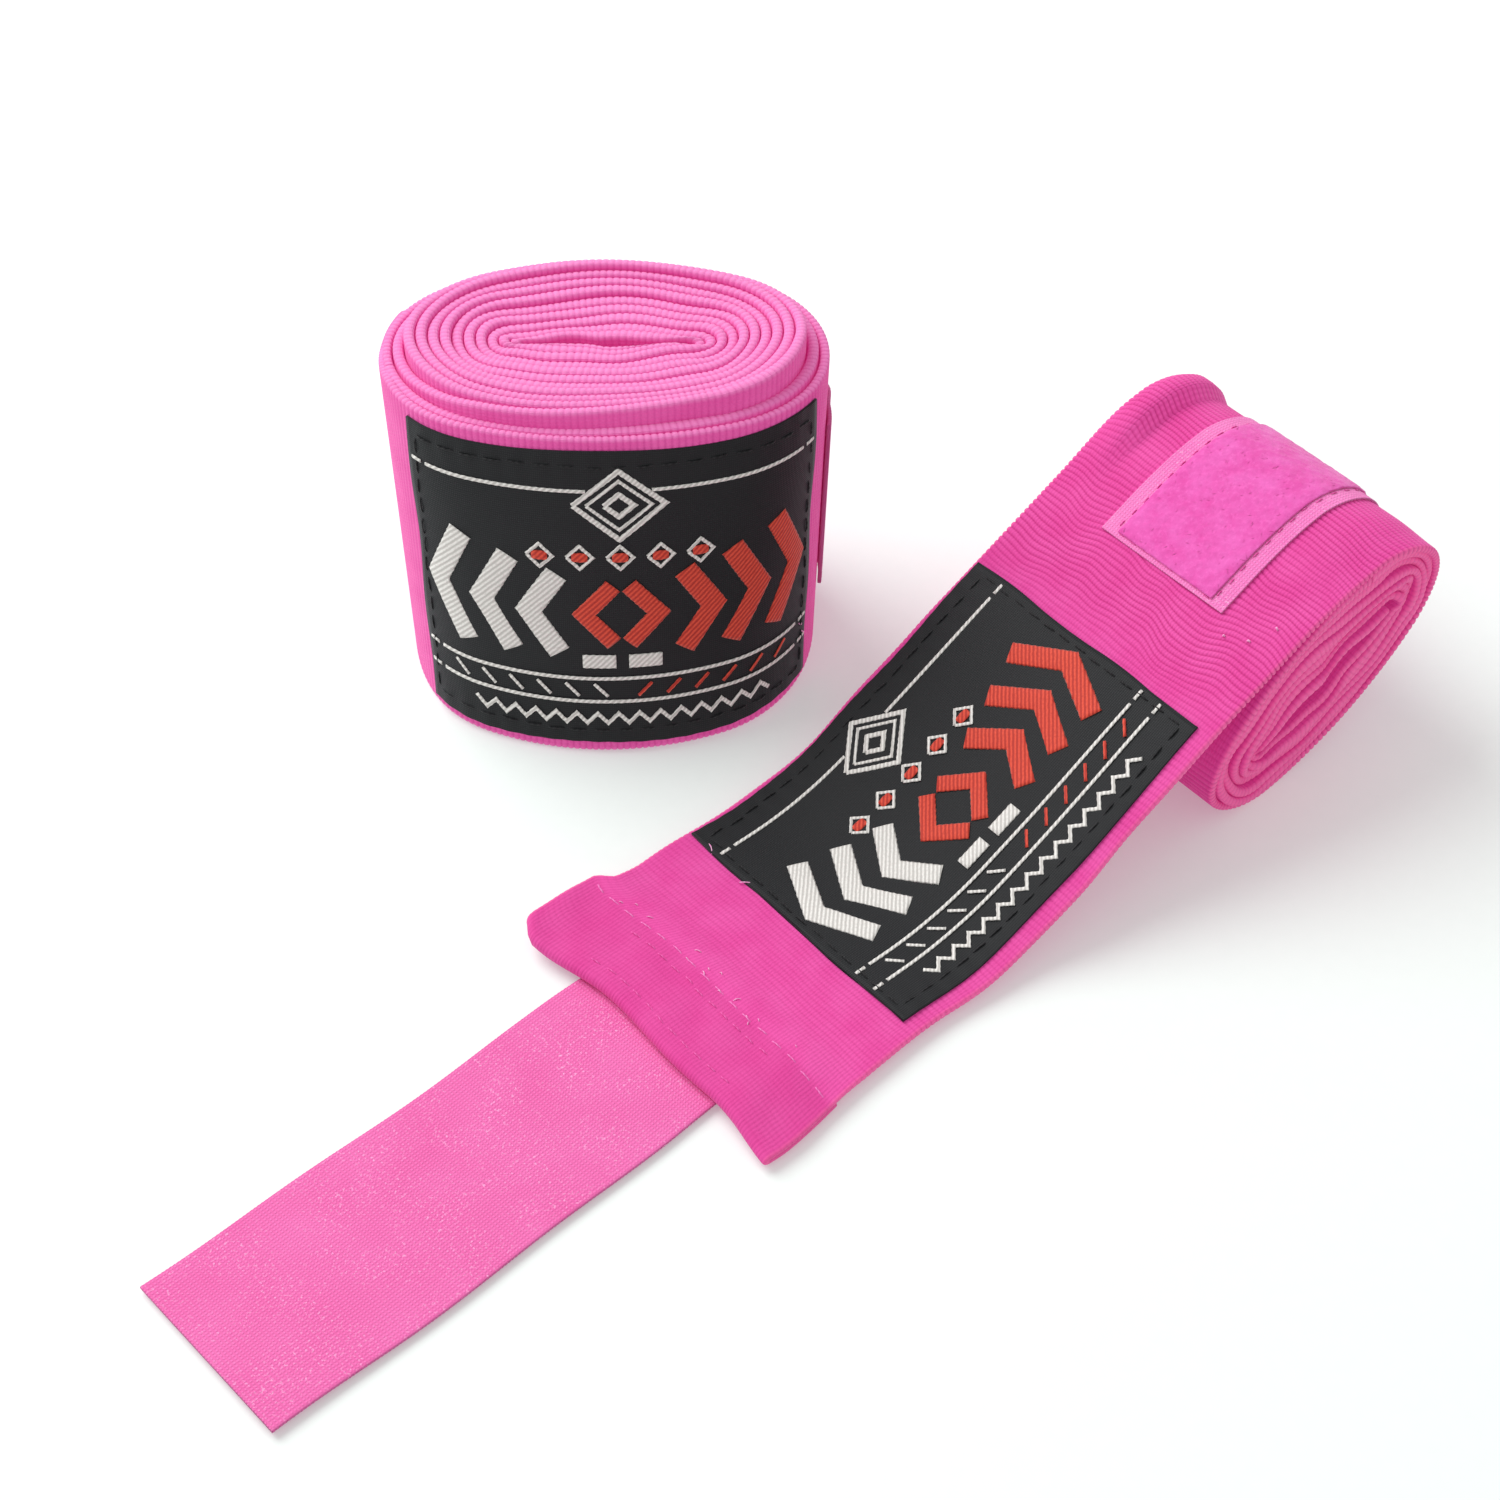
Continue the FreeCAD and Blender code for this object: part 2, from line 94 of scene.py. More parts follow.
# ---- sizes that only the looks have, in mm
RIB_PITCH, RIB_ROWS = 0.92, 4
CLOTH_SWELL = 0.07  # how far the ribs' crests stand out beyond the CAD's plain band, each side
BAND_TOP = BAND_THICKNESS + CLOTH_SWELL
ON_BAND = BAND_TOP - 0.02  # undersides of what is sewn on, sunk a touch into the cloth
STITCH_STRAY, STITCH_TILT = 0.08, 0.05  # how unevenly stitches sit, and the slope they stray by
LABEL_MOVED = {"open": (0.0, -0.9), "rolled": (1.6, 0.0)}  # along and across from true
SECOND_LAP = {"open": HINGE_AT + 145, "rolled": 185.0}  # where the finely made outer lap ends
PILE_FIBRES = 450
CHART = 10  # millimetres in one unit of a chart

# ---- bodies that the pieces at each end of the band ride on
TAIL_BODY = {"open": "open_tail", "rolled": "rolled_wrap"}
ROLL_BODY = {"open": "open_roll", "rolled": "rolled_wrap"}


# ---- the path that a band follows
def travel(x, y, heading, curvature, distance):
    """Where a bend has got to after a distance, and its heading there."""
    bend = np.where(np.abs(curvature) < 1e-9, 1e-9, curvature)
    turned = heading + bend * distance
    return (x + (np.sin(turned) - np.sin(heading)) / bend,
            y + (np.cos(heading) - np.cos(turned)) / bend, turned)


def rotated(x, y, angle):
    """A point turned left about the origin."""
    return x * math.cos(angle) - y * math.sin(angle), x * math.sin(angle) + y * math.cos(angle)


class Path:
    """Straight and round stretches end to end, each a length and a curvature (left is positive)."""

    def __init__(self, x, y, heading, stretches):
        self.stretches = stretches
        poses, begins, reached = [], [], 0.0
        for length, curvature in stretches:
            poses.append((float(x), float(y), float(heading), curvature))
            begins.append(reached)
            x, y, heading = travel(x, y, heading, curvature, length)
            reached += length
        self.poses, self.begins, self.length = np.array(poses).T, np.array(begins), reached

    def at(self, along):
        along = np.asarray(along, float)
        i = np.clip(np.searchsorted(self.begins, along, side="right") - 1, 0, None)
        x, y, heading, curvature = self.poses[:, i]
        return travel(x, y, heading, curvature, along - self.begins[i])

    def rest(self, start):
        """The lengths and curvatures of what is left of the path after a distance."""
        left = []
        for begin, (length, curvature) in zip(self.begins, self.stretches):
            kept = min(length, begin + length - start)
            if kept > 1e-6:
                left.append((kept, curvature))
        return left


def oval_spiral(half_length, half_height, pitch, core, first_heading, lean=0.0):
    """A path that winds inwards clockwise round a leaning oval, one pitch closer for every turn."""
    side_cos, side_sin = math.cos(SIDE_ANGLE), math.sin(SIDE_ANGLE)
    centre = (half_length - half_height) / (1 - (1 - side_sin) / side_cos)
    radius, step = half_length - centre, centre / side_cos
    wide, narrow = step + pitch / 4, step - pitch / 4
    inner = centre - wide * side_cos
    centres = [(centre, 0.0), (inner, -wide * side_sin),
               (inner - narrow * side_cos, (narrow - wide) * side_sin)]
    bounds = [-SIDE_ANGLE, SIDE_ANGLE, math.pi - SIDE_ANGLE, math.pi + SIDE_ANGLE,
              TURN - SIDE_ANGLE]
    angle = first_heading + math.pi / 2 - lean
    sector = 1 if angle < math.pi - SIDE_ANGLE else 2
    radius += wide * (sector % 2)
    x = centres[sector][0] + radius * math.cos(angle)
    y = centres[sector][1] + radius * math.sin(angle)
    stretches = []
    while radius > core:
        stretches.append((radius * (angle - bounds[sector]), -1 / radius))
        radius += narrow if sector % 2 == 0 else -wide
        sector = (sector - 1) % 4
        angle = bounds[sector + 1]
    if sector % 2:
        stretches.append((radius * (angle - bounds[sector]), -1 / radius))
    return Path(*rotated(x, y, lean), first_heading, stretches)


def open_path():
    """The open wrap's band, along its underside, and the middle of its roll."""
    roll = oval_spiral(OPEN_HALF_LENGTH - BAND_THICKNESS, OPEN_HALF_HEIGHT - BAND_THICKNESS,
                       OPEN_PITCH, OPEN_CORE, RAMP_ANGLE, OPEN_LEAN)
    _, y, heading = roll.at(np.linspace(0, roll.length, 4000))
    middle = (OPEN_ROLL_AT, -(y + np.cos(heading) * BAND_THICKNESS).min())
    x, y, _ = roll.at(0)
    slope = (y + middle[1] - LAID_BAND) / math.sin(RAMP_ANGLE)
    foot = x + middle[0] - slope * math.cos(RAMP_ANGLE)
    tangent = RAMP_BEND * math.tan(RAMP_ANGLE / 2)
    laid_out = [(foot - tangent, 0.0), (RAMP_BEND * RAMP_ANGLE, 1 / RAMP_BEND),
                (slope - tangent, 0.0)]
    return Path(0, LAID_BAND, 0, laid_out + roll.stretches), middle


def rolled_path():
    """The rolled wrap's band, along its underside: the end that flares over the hem, then laps."""
    full = oval_spiral(ROLLED_HALF_LENGTH - BAND_THICKNESS, ROLLED_HALF_HEIGHT - BAND_THICKNESS,
                       ROLLED_PITCH, ROLLED_CORE, math.pi / 2 + SIDE_ANGLE)
    to_front = full.stretches[0][0] + full.stretches[1][0] / 2
    label_at = to_front - LABEL_LENGTH / 2 + LABEL_SHIFT
    laps = full.rest(label_at)
    flare = CLOSED_BAND - (ROLLED_PITCH - BAND_THICKNESS)
    curvature = laps[0][1] + 2 * flare / LABEL_START ** 2
    x, y, heading = travel(*full.at(label_at), curvature, -LABEL_START)
    return Path(x, y, heading, [(LABEL_START, curvature)] + laps)


def with_hem(path):
    """The path with its hem in front: back along the underside, then round the fold."""
    reach, curvature = BAND_THICKNESS + LAYER_GAP / 2, path.stretches[0][1]
    x, y, heading = path.at(HEM_DEPTH)
    hem = (HEM_DEPTH - reach, -curvature)
    fold = (math.pi * LAYER_GAP / 2, -2 / LAYER_GAP)
    whole = Path(x + math.sin(heading) * LAYER_GAP, y - math.cos(heading) * LAYER_GAP,
                 heading + math.pi, [hem, fold] + path.rest(reach))
    return whole, hem[0] + fold[0] - reach


# ---- how each wrap sits and slumps; bare lengths are in mm, and were judged
def smooth(value, start, end):
    """0 before start and 1 after end, with an easy curve between them."""
    share = np.clip((value - start) / (end - start), 0, 1)
    return share * share * (3 - 2 * share)


def near_angle(angle, middle, width):
    """1 at an angle, fading to 0 a width away on either side."""
    apart = np.abs((angle - middle + math.pi) % TURN - math.pi)
    return 1 - smooth(apart, 0, width)


def shift_out(local, middle, amount):
    """Moves points, in place, straight away from the middle of a roll."""
    across_roll = local[..., :2] - np.array(middle)
    reach = np.maximum(np.linalg.norm(across_roll, axis=-1), 2.0)
    local[..., :2] += across_roll * (amount / reach)[..., None]


class Wrap:
    """One wrap's path, its place in the row frame, and the way that its cloth slumps."""

    def __init__(self, path, basis, origin, slump):
        self.plain = path
        self.path, self.lead = with_hem(path)
        self.basis, self.origin, self.slump = np.array(basis, float), np.array(origin), slump

    def points(self, along, out, across):
        along, out, across = np.broadcast_arrays(along, out, across)
        x, y, heading = self.path.at(along + self.lead)
        local = np.stack([x - np.sin(heading) * out, y + np.cos(heading) * out, across], -1)
        return self.placed(local, along)

    def placed(self, local, along):
        """Slumped, and in metres in the row frame."""
        return (self.slump(local, along) @ self.basis.T + self.origin) * MM

    def point(self, along, out, across):
        return Vector(self.points(along, out, across))


tail_low, tail_high = (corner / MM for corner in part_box("open_band_tail"))
open_origin = (tail_low.x, (tail_low.y + tail_high.y) / 2, 0.0)
rolled_origin = (open_origin[0] + ROLLED_AT[0], open_origin[1] + ROLLED_AT[1], BAND_WIDTH / 2)
open_line, open_middle = open_path()
rolled_line = rolled_path()


def close_core(along_axis, over, gap, span):
    """How far cloth moves towards a roll's long axis, so that the laps close up on its core."""
    squeeze, straight, round_end = 0.75, 9, 19
    reach = gap / squeeze
    held = (1 - smooth(np.abs(over), reach, span)) * (
        1 - smooth(np.abs(along_axis), straight, round_end))
    return -squeeze * np.clip(over, -reach, reach) * held


def lap_number(path, along):
    """How many turns the path has made before a distance along it."""
    _, _, first = path.at(0)
    _, _, heading = path.at(along)
    return (first - heading) / TURN


def slump_laid_end(local, laid):
    """The hem flares at its corners and wrinkles at its seam, and the band narrows behind it."""
    ahead, up, aside = (local[..., k] for k in range(3))
    x, across = ahead.copy(), aside.copy()
    hem = 1 - smooth(x, 3, 22)
    far_corner = smooth(-across, 8, 25) * (1 - 0.8 * smooth(-across, 21.5, 25.2))
    near_corner = smooth(across, 12, 25)
    ahead -= hem * (2.2 * far_corner + 1.5 * near_corner + 0.3 * np.sin(across / 4.1))
    up += laid * hem * 0.8 * smooth(-across, 17, 25)
    up -= 1.1 * laid * smooth(x, 12.5, 19)
    sewn = laid * (1 - smooth(x, 11, 13.5)) * smooth(x, 0, 2)
    up += 0.13 * sewn * np.sin(across / 1.7 + x / 2.1) * np.sin(x / 2.6 - across / 5)
    up *= 1 - 0.35 * laid * (1 - smooth(x, 12, 20)) * smooth(across, 17, 25)
    stretched = np.where(across < 0, 1 - smooth(x, 11.5, 14.5), 1 - smooth(x, 2, 26))
    aside += across / 25 * (1.9 * stretched - 0.9) * laid
    edge_wave = 0.22 * np.sin(x / 7.3 + 1) + 0.14 * np.sin(x / 2.9) * np.sign(across)
    aside += laid * edge_wave * smooth(np.abs(across), 20, 25)
    aside -= 0.05 * across * (1 - laid)


def slump_open(local, along):
    """The laid-out end slumps, the roll's laps lie unevenly, and its far edge curls up."""
    ahead, up, aside = (local[..., k] for k in range(3))
    across = aside.copy()
    slump_laid_end(local, 1 - smooth(along, 60, 92))

    on_axis, over = rotated(ahead - open_middle[0], up - open_middle[1], -OPEN_LEAN)
    along_oval, over_oval = on_axis / OPEN_HALF_LENGTH, over / OPEN_HALF_HEIGHT
    angle, reach = np.arctan2(over_oval, along_oval), np.hypot(over_oval, along_oval)
    rolled = smooth(along, 112, 125)
    inside = 4 * np.clip(reach * (0.98 - reach), 0, None)
    loose = (0.55 * np.sin(2 * angle + 0.7 + 3 * reach) + 0.5 * np.sin(3 * angle - 1.1 + 5 * reach)
             + 0.4 * np.sin(5 * angle + 9 * reach) + 0.2 * np.sin(7 * angle - 14 * reach))
    shift_out(local, open_middle, rolled * inside * loose)

    core = 1 - smooth(reach, 0.12, 0.5)
    pointed = 0.25 * over * smooth(np.abs(along_oval), 0.3, 0.8) * (1 - smooth(reach, 0.7, 0.93))
    closed = close_core(on_axis, over, 1.5, 12)
    inward = rolled * (closed + 0.6 * np.sin(along_oval * 9) * core - pointed)
    ahead -= math.sin(OPEN_LEAN) * inward
    up += math.cos(OPEN_LEAN) * inward

    over_crest = smooth(along, 106, 120) * (1 - smooth(along, 138, 150))
    curled = smooth(-across, 18.5, 20.5) * (1 - 0.5 * smooth(-across, 23, 25))
    up += 2.3 * over_crest * curled
    up -= 0.7 * over_crest * smooth(across, 17, 25)
    laps = lap_number(open_line, along)
    stagger = 0.4 * np.sin(TURN * 1.31 * laps + 0.4) + 0.25 * np.sin(TURN * 2.77 * laps)
    aside += rolled * (stagger + 0.3 * smooth(laps, 3, 6))
    return local


# How far the rolled wrap's laps stand up at its top, in mm, by the turns made from its hem.
RISE_TURNS = [0, 1.1, 1.4, 1.7, 2.15, 2.4, 2.55, 2.75, 3.2, 3.5, 4, 6, 9, 15]
RISE_HEIGHTS = [0.1, 0.1, 0.9, 0.4, 1.0, 3.9, 4.4, 3.0, 2.9, 3.8, 3.2, 2.6, 1.8, 1.4]


def slump_rolled(local, along):
    """The rolled wrap spreads at its top and leans back, and its laps stand at uneven heights."""
    sideways, forward, down = (local[..., k] for k in range(3))
    x, y, across = sideways.copy(), forward.copy(), down.copy()
    to_top = (BAND_WIDTH / 2 - across) / BAND_WIDTH
    angle = np.arctan2(y / ROLLED_HALF_HEIGHT, x / ROLLED_HALF_LENGTH)
    reach = np.hypot(y / ROLLED_HALF_HEIGHT, x / ROLLED_HALF_LENGTH)
    inside = 4 * np.clip(reach * (1 - reach), 0, None)
    uneven = 0.45 * np.sin(2 * angle + 2.1 + 3 * reach) + 0.3 * np.sin(5 * angle + 0.4 + 4 * reach)
    parted = near_angle(angle, math.radians(58), 1.05) * (1 - smooth(reach, 0.86, 0.92))
    outer_end = 1 - smooth(along, 8, LABEL_START + 6)
    shift_out(local, (0, 0), inside * uneven - 0.7 * parted * smooth(reach, 0.25, 0.85)
              - 2.1 * outer_end)

    sideways += x / ROLLED_HALF_LENGTH * (1.5 * to_top - 0.3 * (1 - to_top))
    front = np.clip(y / ROLLED_HALF_HEIGHT, -1, 1)
    core = 1 - smooth(reach, 0.08, 0.4)
    forward += close_core(x, y, 2.2, 15) + 0.8 * np.sin(x / 3.2 + 0.5) * core
    forward += (1 - to_top) * np.where(front > 0, 3.8, 1.6) * front
    forward -= to_top * (5.9 + 2.9 * front)

    laps = lap_number(rolled_line, along)
    rise = np.interp(laps, RISE_TURNS, RISE_HEIGHTS) - 2.0 * (1 - smooth(along, 8, 24))
    rise = rise + 0.22 * np.sin(TURN * 1.37 * laps) + 0.15 * np.sin(TURN * 2.9 * laps + 1)
    down -= rise * to_top
    return local


turn_cos, turn_sin = math.cos(ROLLED_TURN), math.sin(ROLLED_TURN)
WRAPS = {
    "open": Wrap(open_line, [[1, 0, 0], [0, 0, -1], [0, 1, 0]], open_origin, slump_open),
    "rolled": Wrap(rolled_line, [[turn_cos, turn_sin, 0], [turn_sin, -turn_cos, 0], [0, 0, -1]],
                   rolled_origin, slump_rolled),
}


# ---- meshes
class Pieces:
    """Collects closed lofts and makes one mesh object of them."""

    def __init__(self):
        self.points, self.faces, self.maps, self.count = [], [], [], 0
        self.marks = {"groove": [], "rim": []}

    def loft(self, grid, chart=None, groove=None, rim=None):
        """A closed tube through rows of points: grid is rows by columns by 3, in metres."""
        rows, columns = grid.shape[:2]
        index = np.arange(rows * columns).reshape(rows, columns)
        beside = np.roll(index, -1, axis=1)
        quads = np.stack([index[:-1], beside[:-1], beside[1:], index[1:]], -1).reshape(-1, 4)
        flat = grid.reshape(-1, 3)
        corner = flat[quads] - flat.mean(0)
        volume = np.einsum("ij,ij->i", corner[:, 0], np.cross(corner[:, 1], corner[:, 2])).sum()
        step = -1 if volume < 0 else 1
        faces = (quads[:, ::step] + self.count).tolist()
        faces.append((index[0][::-step] + self.count).tolist())
        faces.append((index[-1][::step] + self.count).tolist())
        self.faces += faces
        self.points.append(flat)
        self.maps.append(np.zeros((len(flat), 2)) if chart is None else chart.reshape(-1, 2))
        for mark, values in (("groove", groove), ("rim", rim)):
            self.marks[mark].append(np.zeros(len(flat)) if values is None else values.reshape(-1))
        self.count += len(flat)

    def make(self, name, material, slot, nodes=(), body=None):
        """The mesh object; nodes are the CAD nodes it replaces, body the one body it rides on."""
        mesh = bpy.data.meshes.new(name)
        mesh.from_pydata(np.concatenate(self.points).tolist(), [], self.faces)
        corners = np.zeros(len(mesh.loops), np.int32)
        mesh.loops.foreach_get("vertex_index", corners)
        chart = mesh.uv_layers.new(name="cloth")
        chart.data.foreach_set("uv", np.concatenate(self.maps)[corners].astype(np.float32).ravel())
        for mark, values in self.marks.items():
            attribute = mesh.attributes.new(mark, "FLOAT", "POINT")
            attribute.data.foreach_set("value", np.concatenate(values).astype(np.float32))
        mesh.polygons.foreach_set("use_smooth", np.ones(len(mesh.polygons), bool))
        mesh.materials.append(MATERIALS[material])
        piece = bpy.data.objects.new(name, mesh)
        bpy.context.scene.collection.objects.link(piece)
        if body:
            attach(piece, body)
        if nodes:
            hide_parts(*nodes)
        return piece


def band_section(half_width, radius, columns):
    """A flat strip's outline: across at the face, and unit steps across and out to the skin."""
    flat = np.linspace(-1, 1, columns + 1) * (half_width - radius)
    edge = np.radians([70, 40, 0, -40, -70])
    blunt = np.cos(edge) ** 0.6, np.sign(edge) * np.abs(np.sin(edge)) ** 0.6
    across = np.concatenate([flat, np.full(5, flat[-1]), flat[::-1], np.full(5, flat[0])])
    sideways = np.concatenate([0 * flat, blunt[0], 0 * flat, -blunt[0]])
    outward = np.concatenate([0 * flat + 1, blunt[1], 0 * flat - 1, -blunt[1]])
    return across, sideways, outward


def plain_rows(first, last, step):
    """Even distances along, about a step apart."""
    return np.linspace(first, last, max(2, round((last - first) / step)) + 1)


def plain_strip(rows, half_width, radius, columns):
    """Along, across and the unit step outwards, for every point of a smooth flat strip."""
    across, sideways, outward = band_section(half_width, radius, columns)
    along = rows[:, None] + 0 * across[None]
    return along, across[None] + sideways[None] * radius + 0 * along, outward[None]


def rib_rows(first, last, pitch, per_rib):
    """Distances along, and how near each is to a rib's crest (1) or groove (0)."""
    ribs = max(1, round((last - first) / pitch))
    count = np.linspace(0, ribs, ribs * per_rib + 1)
    within = 2 * (count % 1) - 1
    return first + count * (last - first) / ribs, np.sqrt(np.clip(1 - within ** 2, 0, 1))


def ribbed_strip(pieces, wrap, rows, crest, half_width, low, high, depth, columns, waver=None,
                 tone=0.0):
    """Ribbed cloth. depth is the grooves' depth and sets their painted shade, tone darkens rows,
    waver bends the ribs.
    """
    radius = (high - low) / 2
    across, sideways, outward = band_section(half_width, radius, columns)
    cut = (depth * (1 - crest))[:, None]
    size = radius - cut
    spread = across[None] + sideways[None] * size
    along = np.repeat(rows[:, None], len(across), 1)
    if waver is not None:
        along = along + waver(along, spread)
    out = (low + high) / 2 + outward[None] * size
    grid = wrap.points(along, out, spread)
    chart = np.stack([along, spread + 2 * outward[None]], -1) / CHART
    # painted shade: the groove mark darkens the cloth's colour in the grooves, and in rows given a
    # tone
    shade = (1 - crest) * np.clip(depth / 0.2, 0, 1) + tone
    groove = np.repeat(shade[:, None], len(across), 1)
    rim = np.repeat(np.abs(sideways)[None], len(rows), 0)
    pieces.loft(grid, chart, groove, rim)


def tube(pieces, wrap, line, radii, sides, side):
    """A thin tube such as a stitch: line has a (along, out, across) for each of the radii."""
    around = np.linspace(0, TURN, sides, endpoint=False)
    ring = line[:, None, :] + np.zeros((1, sides, 3))
    thick = radii[:, None]
    ring[..., 1] += thick * np.sin(around)
    ring[..., 0] += thick * np.cos(around) * side[0]
    ring[..., 2] += thick * np.cos(around) * side[1]
    chart = np.stack([ring[..., 0] + ring[..., 1], ring[..., 2]], -1) / CHART
    pieces.loft(wrap.points(ring[..., 0], ring[..., 1], ring[..., 2]), chart)


# ---- materials
class Shader:
    """A node material: makes nodes by kind, and links a socket or sets a value by input name."""

    def __init__(self, name, on_chart=True):
        self.material = bpy.data.materials.new(name)
        self.material.use_nodes = True
        self.tree = self.material.node_tree
        self.tree.nodes.clear()
        self.place = (self.node("UVMap", uv_map="cloth").outputs["UV"] if on_chart
                      else self.node("TexCoord").outputs["Object"])

    def node(self, kind, inputs=(), **settings):
        made = self.tree.nodes.new("ShaderNode" + kind)
        for key, value in settings.items():
            setattr(made, key, value)
        for key, value in dict(inputs).items():
            if isinstance(value, bpy.types.NodeSocket):
                self.tree.links.new(value, made.inputs[key])
            else:
                made.inputs[key].default_value = value
        return made

    def noise(self, scale, detail=2.0, rough=0.5):
        return self.node("TexNoise", {"Vector": self.place, "Scale": scale, "Detail": detail,
                                      "Roughness": rough}).outputs["Fac"]

    def wave(self, pitch, direction, distort=0.0):
        """Bands of a pitch in millimetres, where the chart is in centimetres."""
        return self.node("TexWave", {"Vector": self.place, "Scale": TURN / 20 / (pitch / CHART),
                                     "Distortion": distort, "Detail": 1.0},
                         bands_direction=direction).outputs["Fac"]

    def math(self, operation, first, second):
        return self.node("Math", {0: first, 1: second}, operation=operation).outputs[0]

    def mix(self, factor, first, second):
        first, second = (value if isinstance(value, bpy.types.NodeSocket) else (*value, 1)
                         for value in (first, second))
        return self.node("Mix", {"Factor": factor, 6: first, 7: second},
                         data_type="RGBA").outputs[2]

    def span(self, value, low, high, to_low=0.0, to_high=1.0):
        return self.node("MapRange", {"Value": value, "From Min": low, "From Max": high,
                                      "To Min": to_low, "To Max": to_high}).outputs[0]

    def done(self, colour, height, bump, depth, roughness=0.85, sheen=0.25, tint=(1, 0.6, 0.8),
             painted_glow=(0, 0, 0)):
        normal = self.node("Bump", {"Height": height, "Strength": bump, "Distance": depth * MM})
        skin = self.node("BsdfPrincipled", {
            "Base Color": colour, "Roughness": roughness, "Normal": normal.outputs[0],
            "Sheen Weight": sheen, "Sheen Roughness": 0.45, "Sheen Tint": (*tint, 1),
            "Specular IOR Level": 0.25, "Emission Color": (*painted_glow, 1), "Emission Strength": 1.0})
        out = self.node("OutputMaterial", {"Surface": skin.outputs[0]})
        out.is_active_output = True
        return self.material


PAINTED_GLOW = (0.15, 0.004, 0.062)  # painted glow: a little pink emission that lifts the cloth's shade, standing in for light let through thin cloth


def paler(colour, gain=1.3, lift=0.04):
    return [min(1, part * gain + lift) for part in colour]


def band_cloth(name, light, deep, groove_shade, edge):
    """Ribbed elastic weave: yarns across the ribs, painted shade in the grooves, paler rims, a
    little fuzz.
    """
    s = Shader(name)
    groove = s.node("Attribute", attribute_name="groove").outputs["Fac"]
    rim = s.node("Attribute", attribute_name="rim").outputs["Fac"]
    patchy = s.span(s.noise(1.6, 3), 0.35, 0.65)
    grain = s.noise(42, 3, 0.65)
    yarns = s.wave(0.52, "Y", 1.5)
    base = s.mix(patchy, light, deep)
    speckle = s.span(grain, 0.3, 0.75, 0.0, 0.5)
    base = s.mix(speckle, base, paler(light, 1.25, 0))
    cool = s.span(s.noise(17, 2, 0.7), 0.56, 0.68, 0.0, 0.45)
    frayed = s.mix(cool, edge, (0.55, 0.15, 0.45))
    base = s.mix(s.math("MULTIPLY", rim, 0.85), base, frayed)
    # painted shade: the cloth turns towards a deep colour in the grooves and in toned rows
    base = s.mix(s.math("MULTIPLY", groove, 0.7), base, groove_shade)
    height = s.math("ADD", s.math("MULTIPLY", yarns, 0.6), grain)
    # painted glow: the cloth emits a little pink light, which lifts its shade
    return s.done(base, height, 0.55, 0.12, painted_glow=PAINTED_GLOW)


def tape_cloth(name, light, deep):
    """Fine plain weave with a slight grain."""
    s = Shader(name)
    warp = s.wave(0.55, "X", 0.6)
    weft = s.wave(0.5, "Y", 0.6)
    cells = s.math("MULTIPLY", warp, weft)
    grain = s.noise(30, 4, 0.7)
    broad = s.span(s.noise(0.9, 3), 0.3, 0.7)
    base = s.mix(broad, light, deep)
    base = s.mix(s.span(s.math("MULTIPLY", cells, grain), 0.05, 0.5, 0.0, 0.55), base,
                 paler(light))
    speck = s.span(s.noise(19, 2, 0.8), 0.56, 0.68, 0.0, 0.8)
    worn = s.span(s.noise(1.4, 2), 0.36, 0.60)
    base = s.mix(s.math("MULTIPLY", speck, worn), base, (0.95, 0.42, 0.68))
    height = s.math("ADD", cells, s.math("MULTIPLY", grain, 0.9))
    return s.done(base, height, 0.7, 0.13, 0.7, 0.2)


def pile_cloth(name, light, deep):
    """Brushed loops: mottled, soft, with flecks where the pile parts."""
    s = Shader(name)
    broad = s.span(s.noise(2.2, 4, 0.6), 0.35, 0.66)
    fleck = s.span(s.noise(13, 4, 0.7), 0.5, 0.72)
    base = s.mix(broad, deep, light)
    base = s.mix(s.math("MULTIPLY", fleck, 0.4), base, paler(light))
    height = s.math("ADD", s.noise(34, 4, 0.75), s.noise(9, 2))
    return s.done(base, height, 0.5, 0.2, 0.95, 0.5)


def woven_label(name):
    """Near-black damask: fine satin floats with a faint grid."""
    s = Shader(name)
    weft = s.wave(0.34, "Y", 0.3)
    warp = s.wave(0.28, "X", 0.3)
    cells = s.math("MULTIPLY", weft, warp)
    grain = s.noise(26, 3, 0.6)
    base = s.mix(s.span(cells, 0.1, 0.9, 0.0, 0.8), (0.006, 0.007, 0.008), (0.019, 0.020, 0.022))
    base = s.mix(s.span(grain, 0.62, 0.8, 0.0, 0.3), base, (0.05, 0.05, 0.054))
    return s.done(base, s.math("ADD", cells, s.math("MULTIPLY", grain, 0.3)), 0.5, 0.08, 0.55, 0.12,
                  (0.8, 0.8, 0.9))


def thread(name, colour, shade, sheen=0.2):
    """Twisted sewing or weaving thread."""
    s = Shader(name)
    twist = s.wave(0.42, "DIAGONAL", 0.8)
    worn = s.noise(22, 3, 0.6)
    base = s.mix(s.span(s.math("MULTIPLY", twist, worn), 0.05, 0.5), shade, colour)
    return s.done(base, s.math("ADD", twist, worn), 0.6, 0.08, 0.6, sheen, (1, 1, 1))


def hook_plastic(name):
    """Slightly translucent moulded-looking nylon, for the hooks."""
    s = Shader(name)
    tone = s.noise(8, 2)
    base = s.mix(s.span(tone, 0.3, 0.7), (0.80, 0.16, 0.45), (0.95, 0.34, 0.62))
    return s.done(base, tone, 0.1, 0.02, 0.35, 0.0)


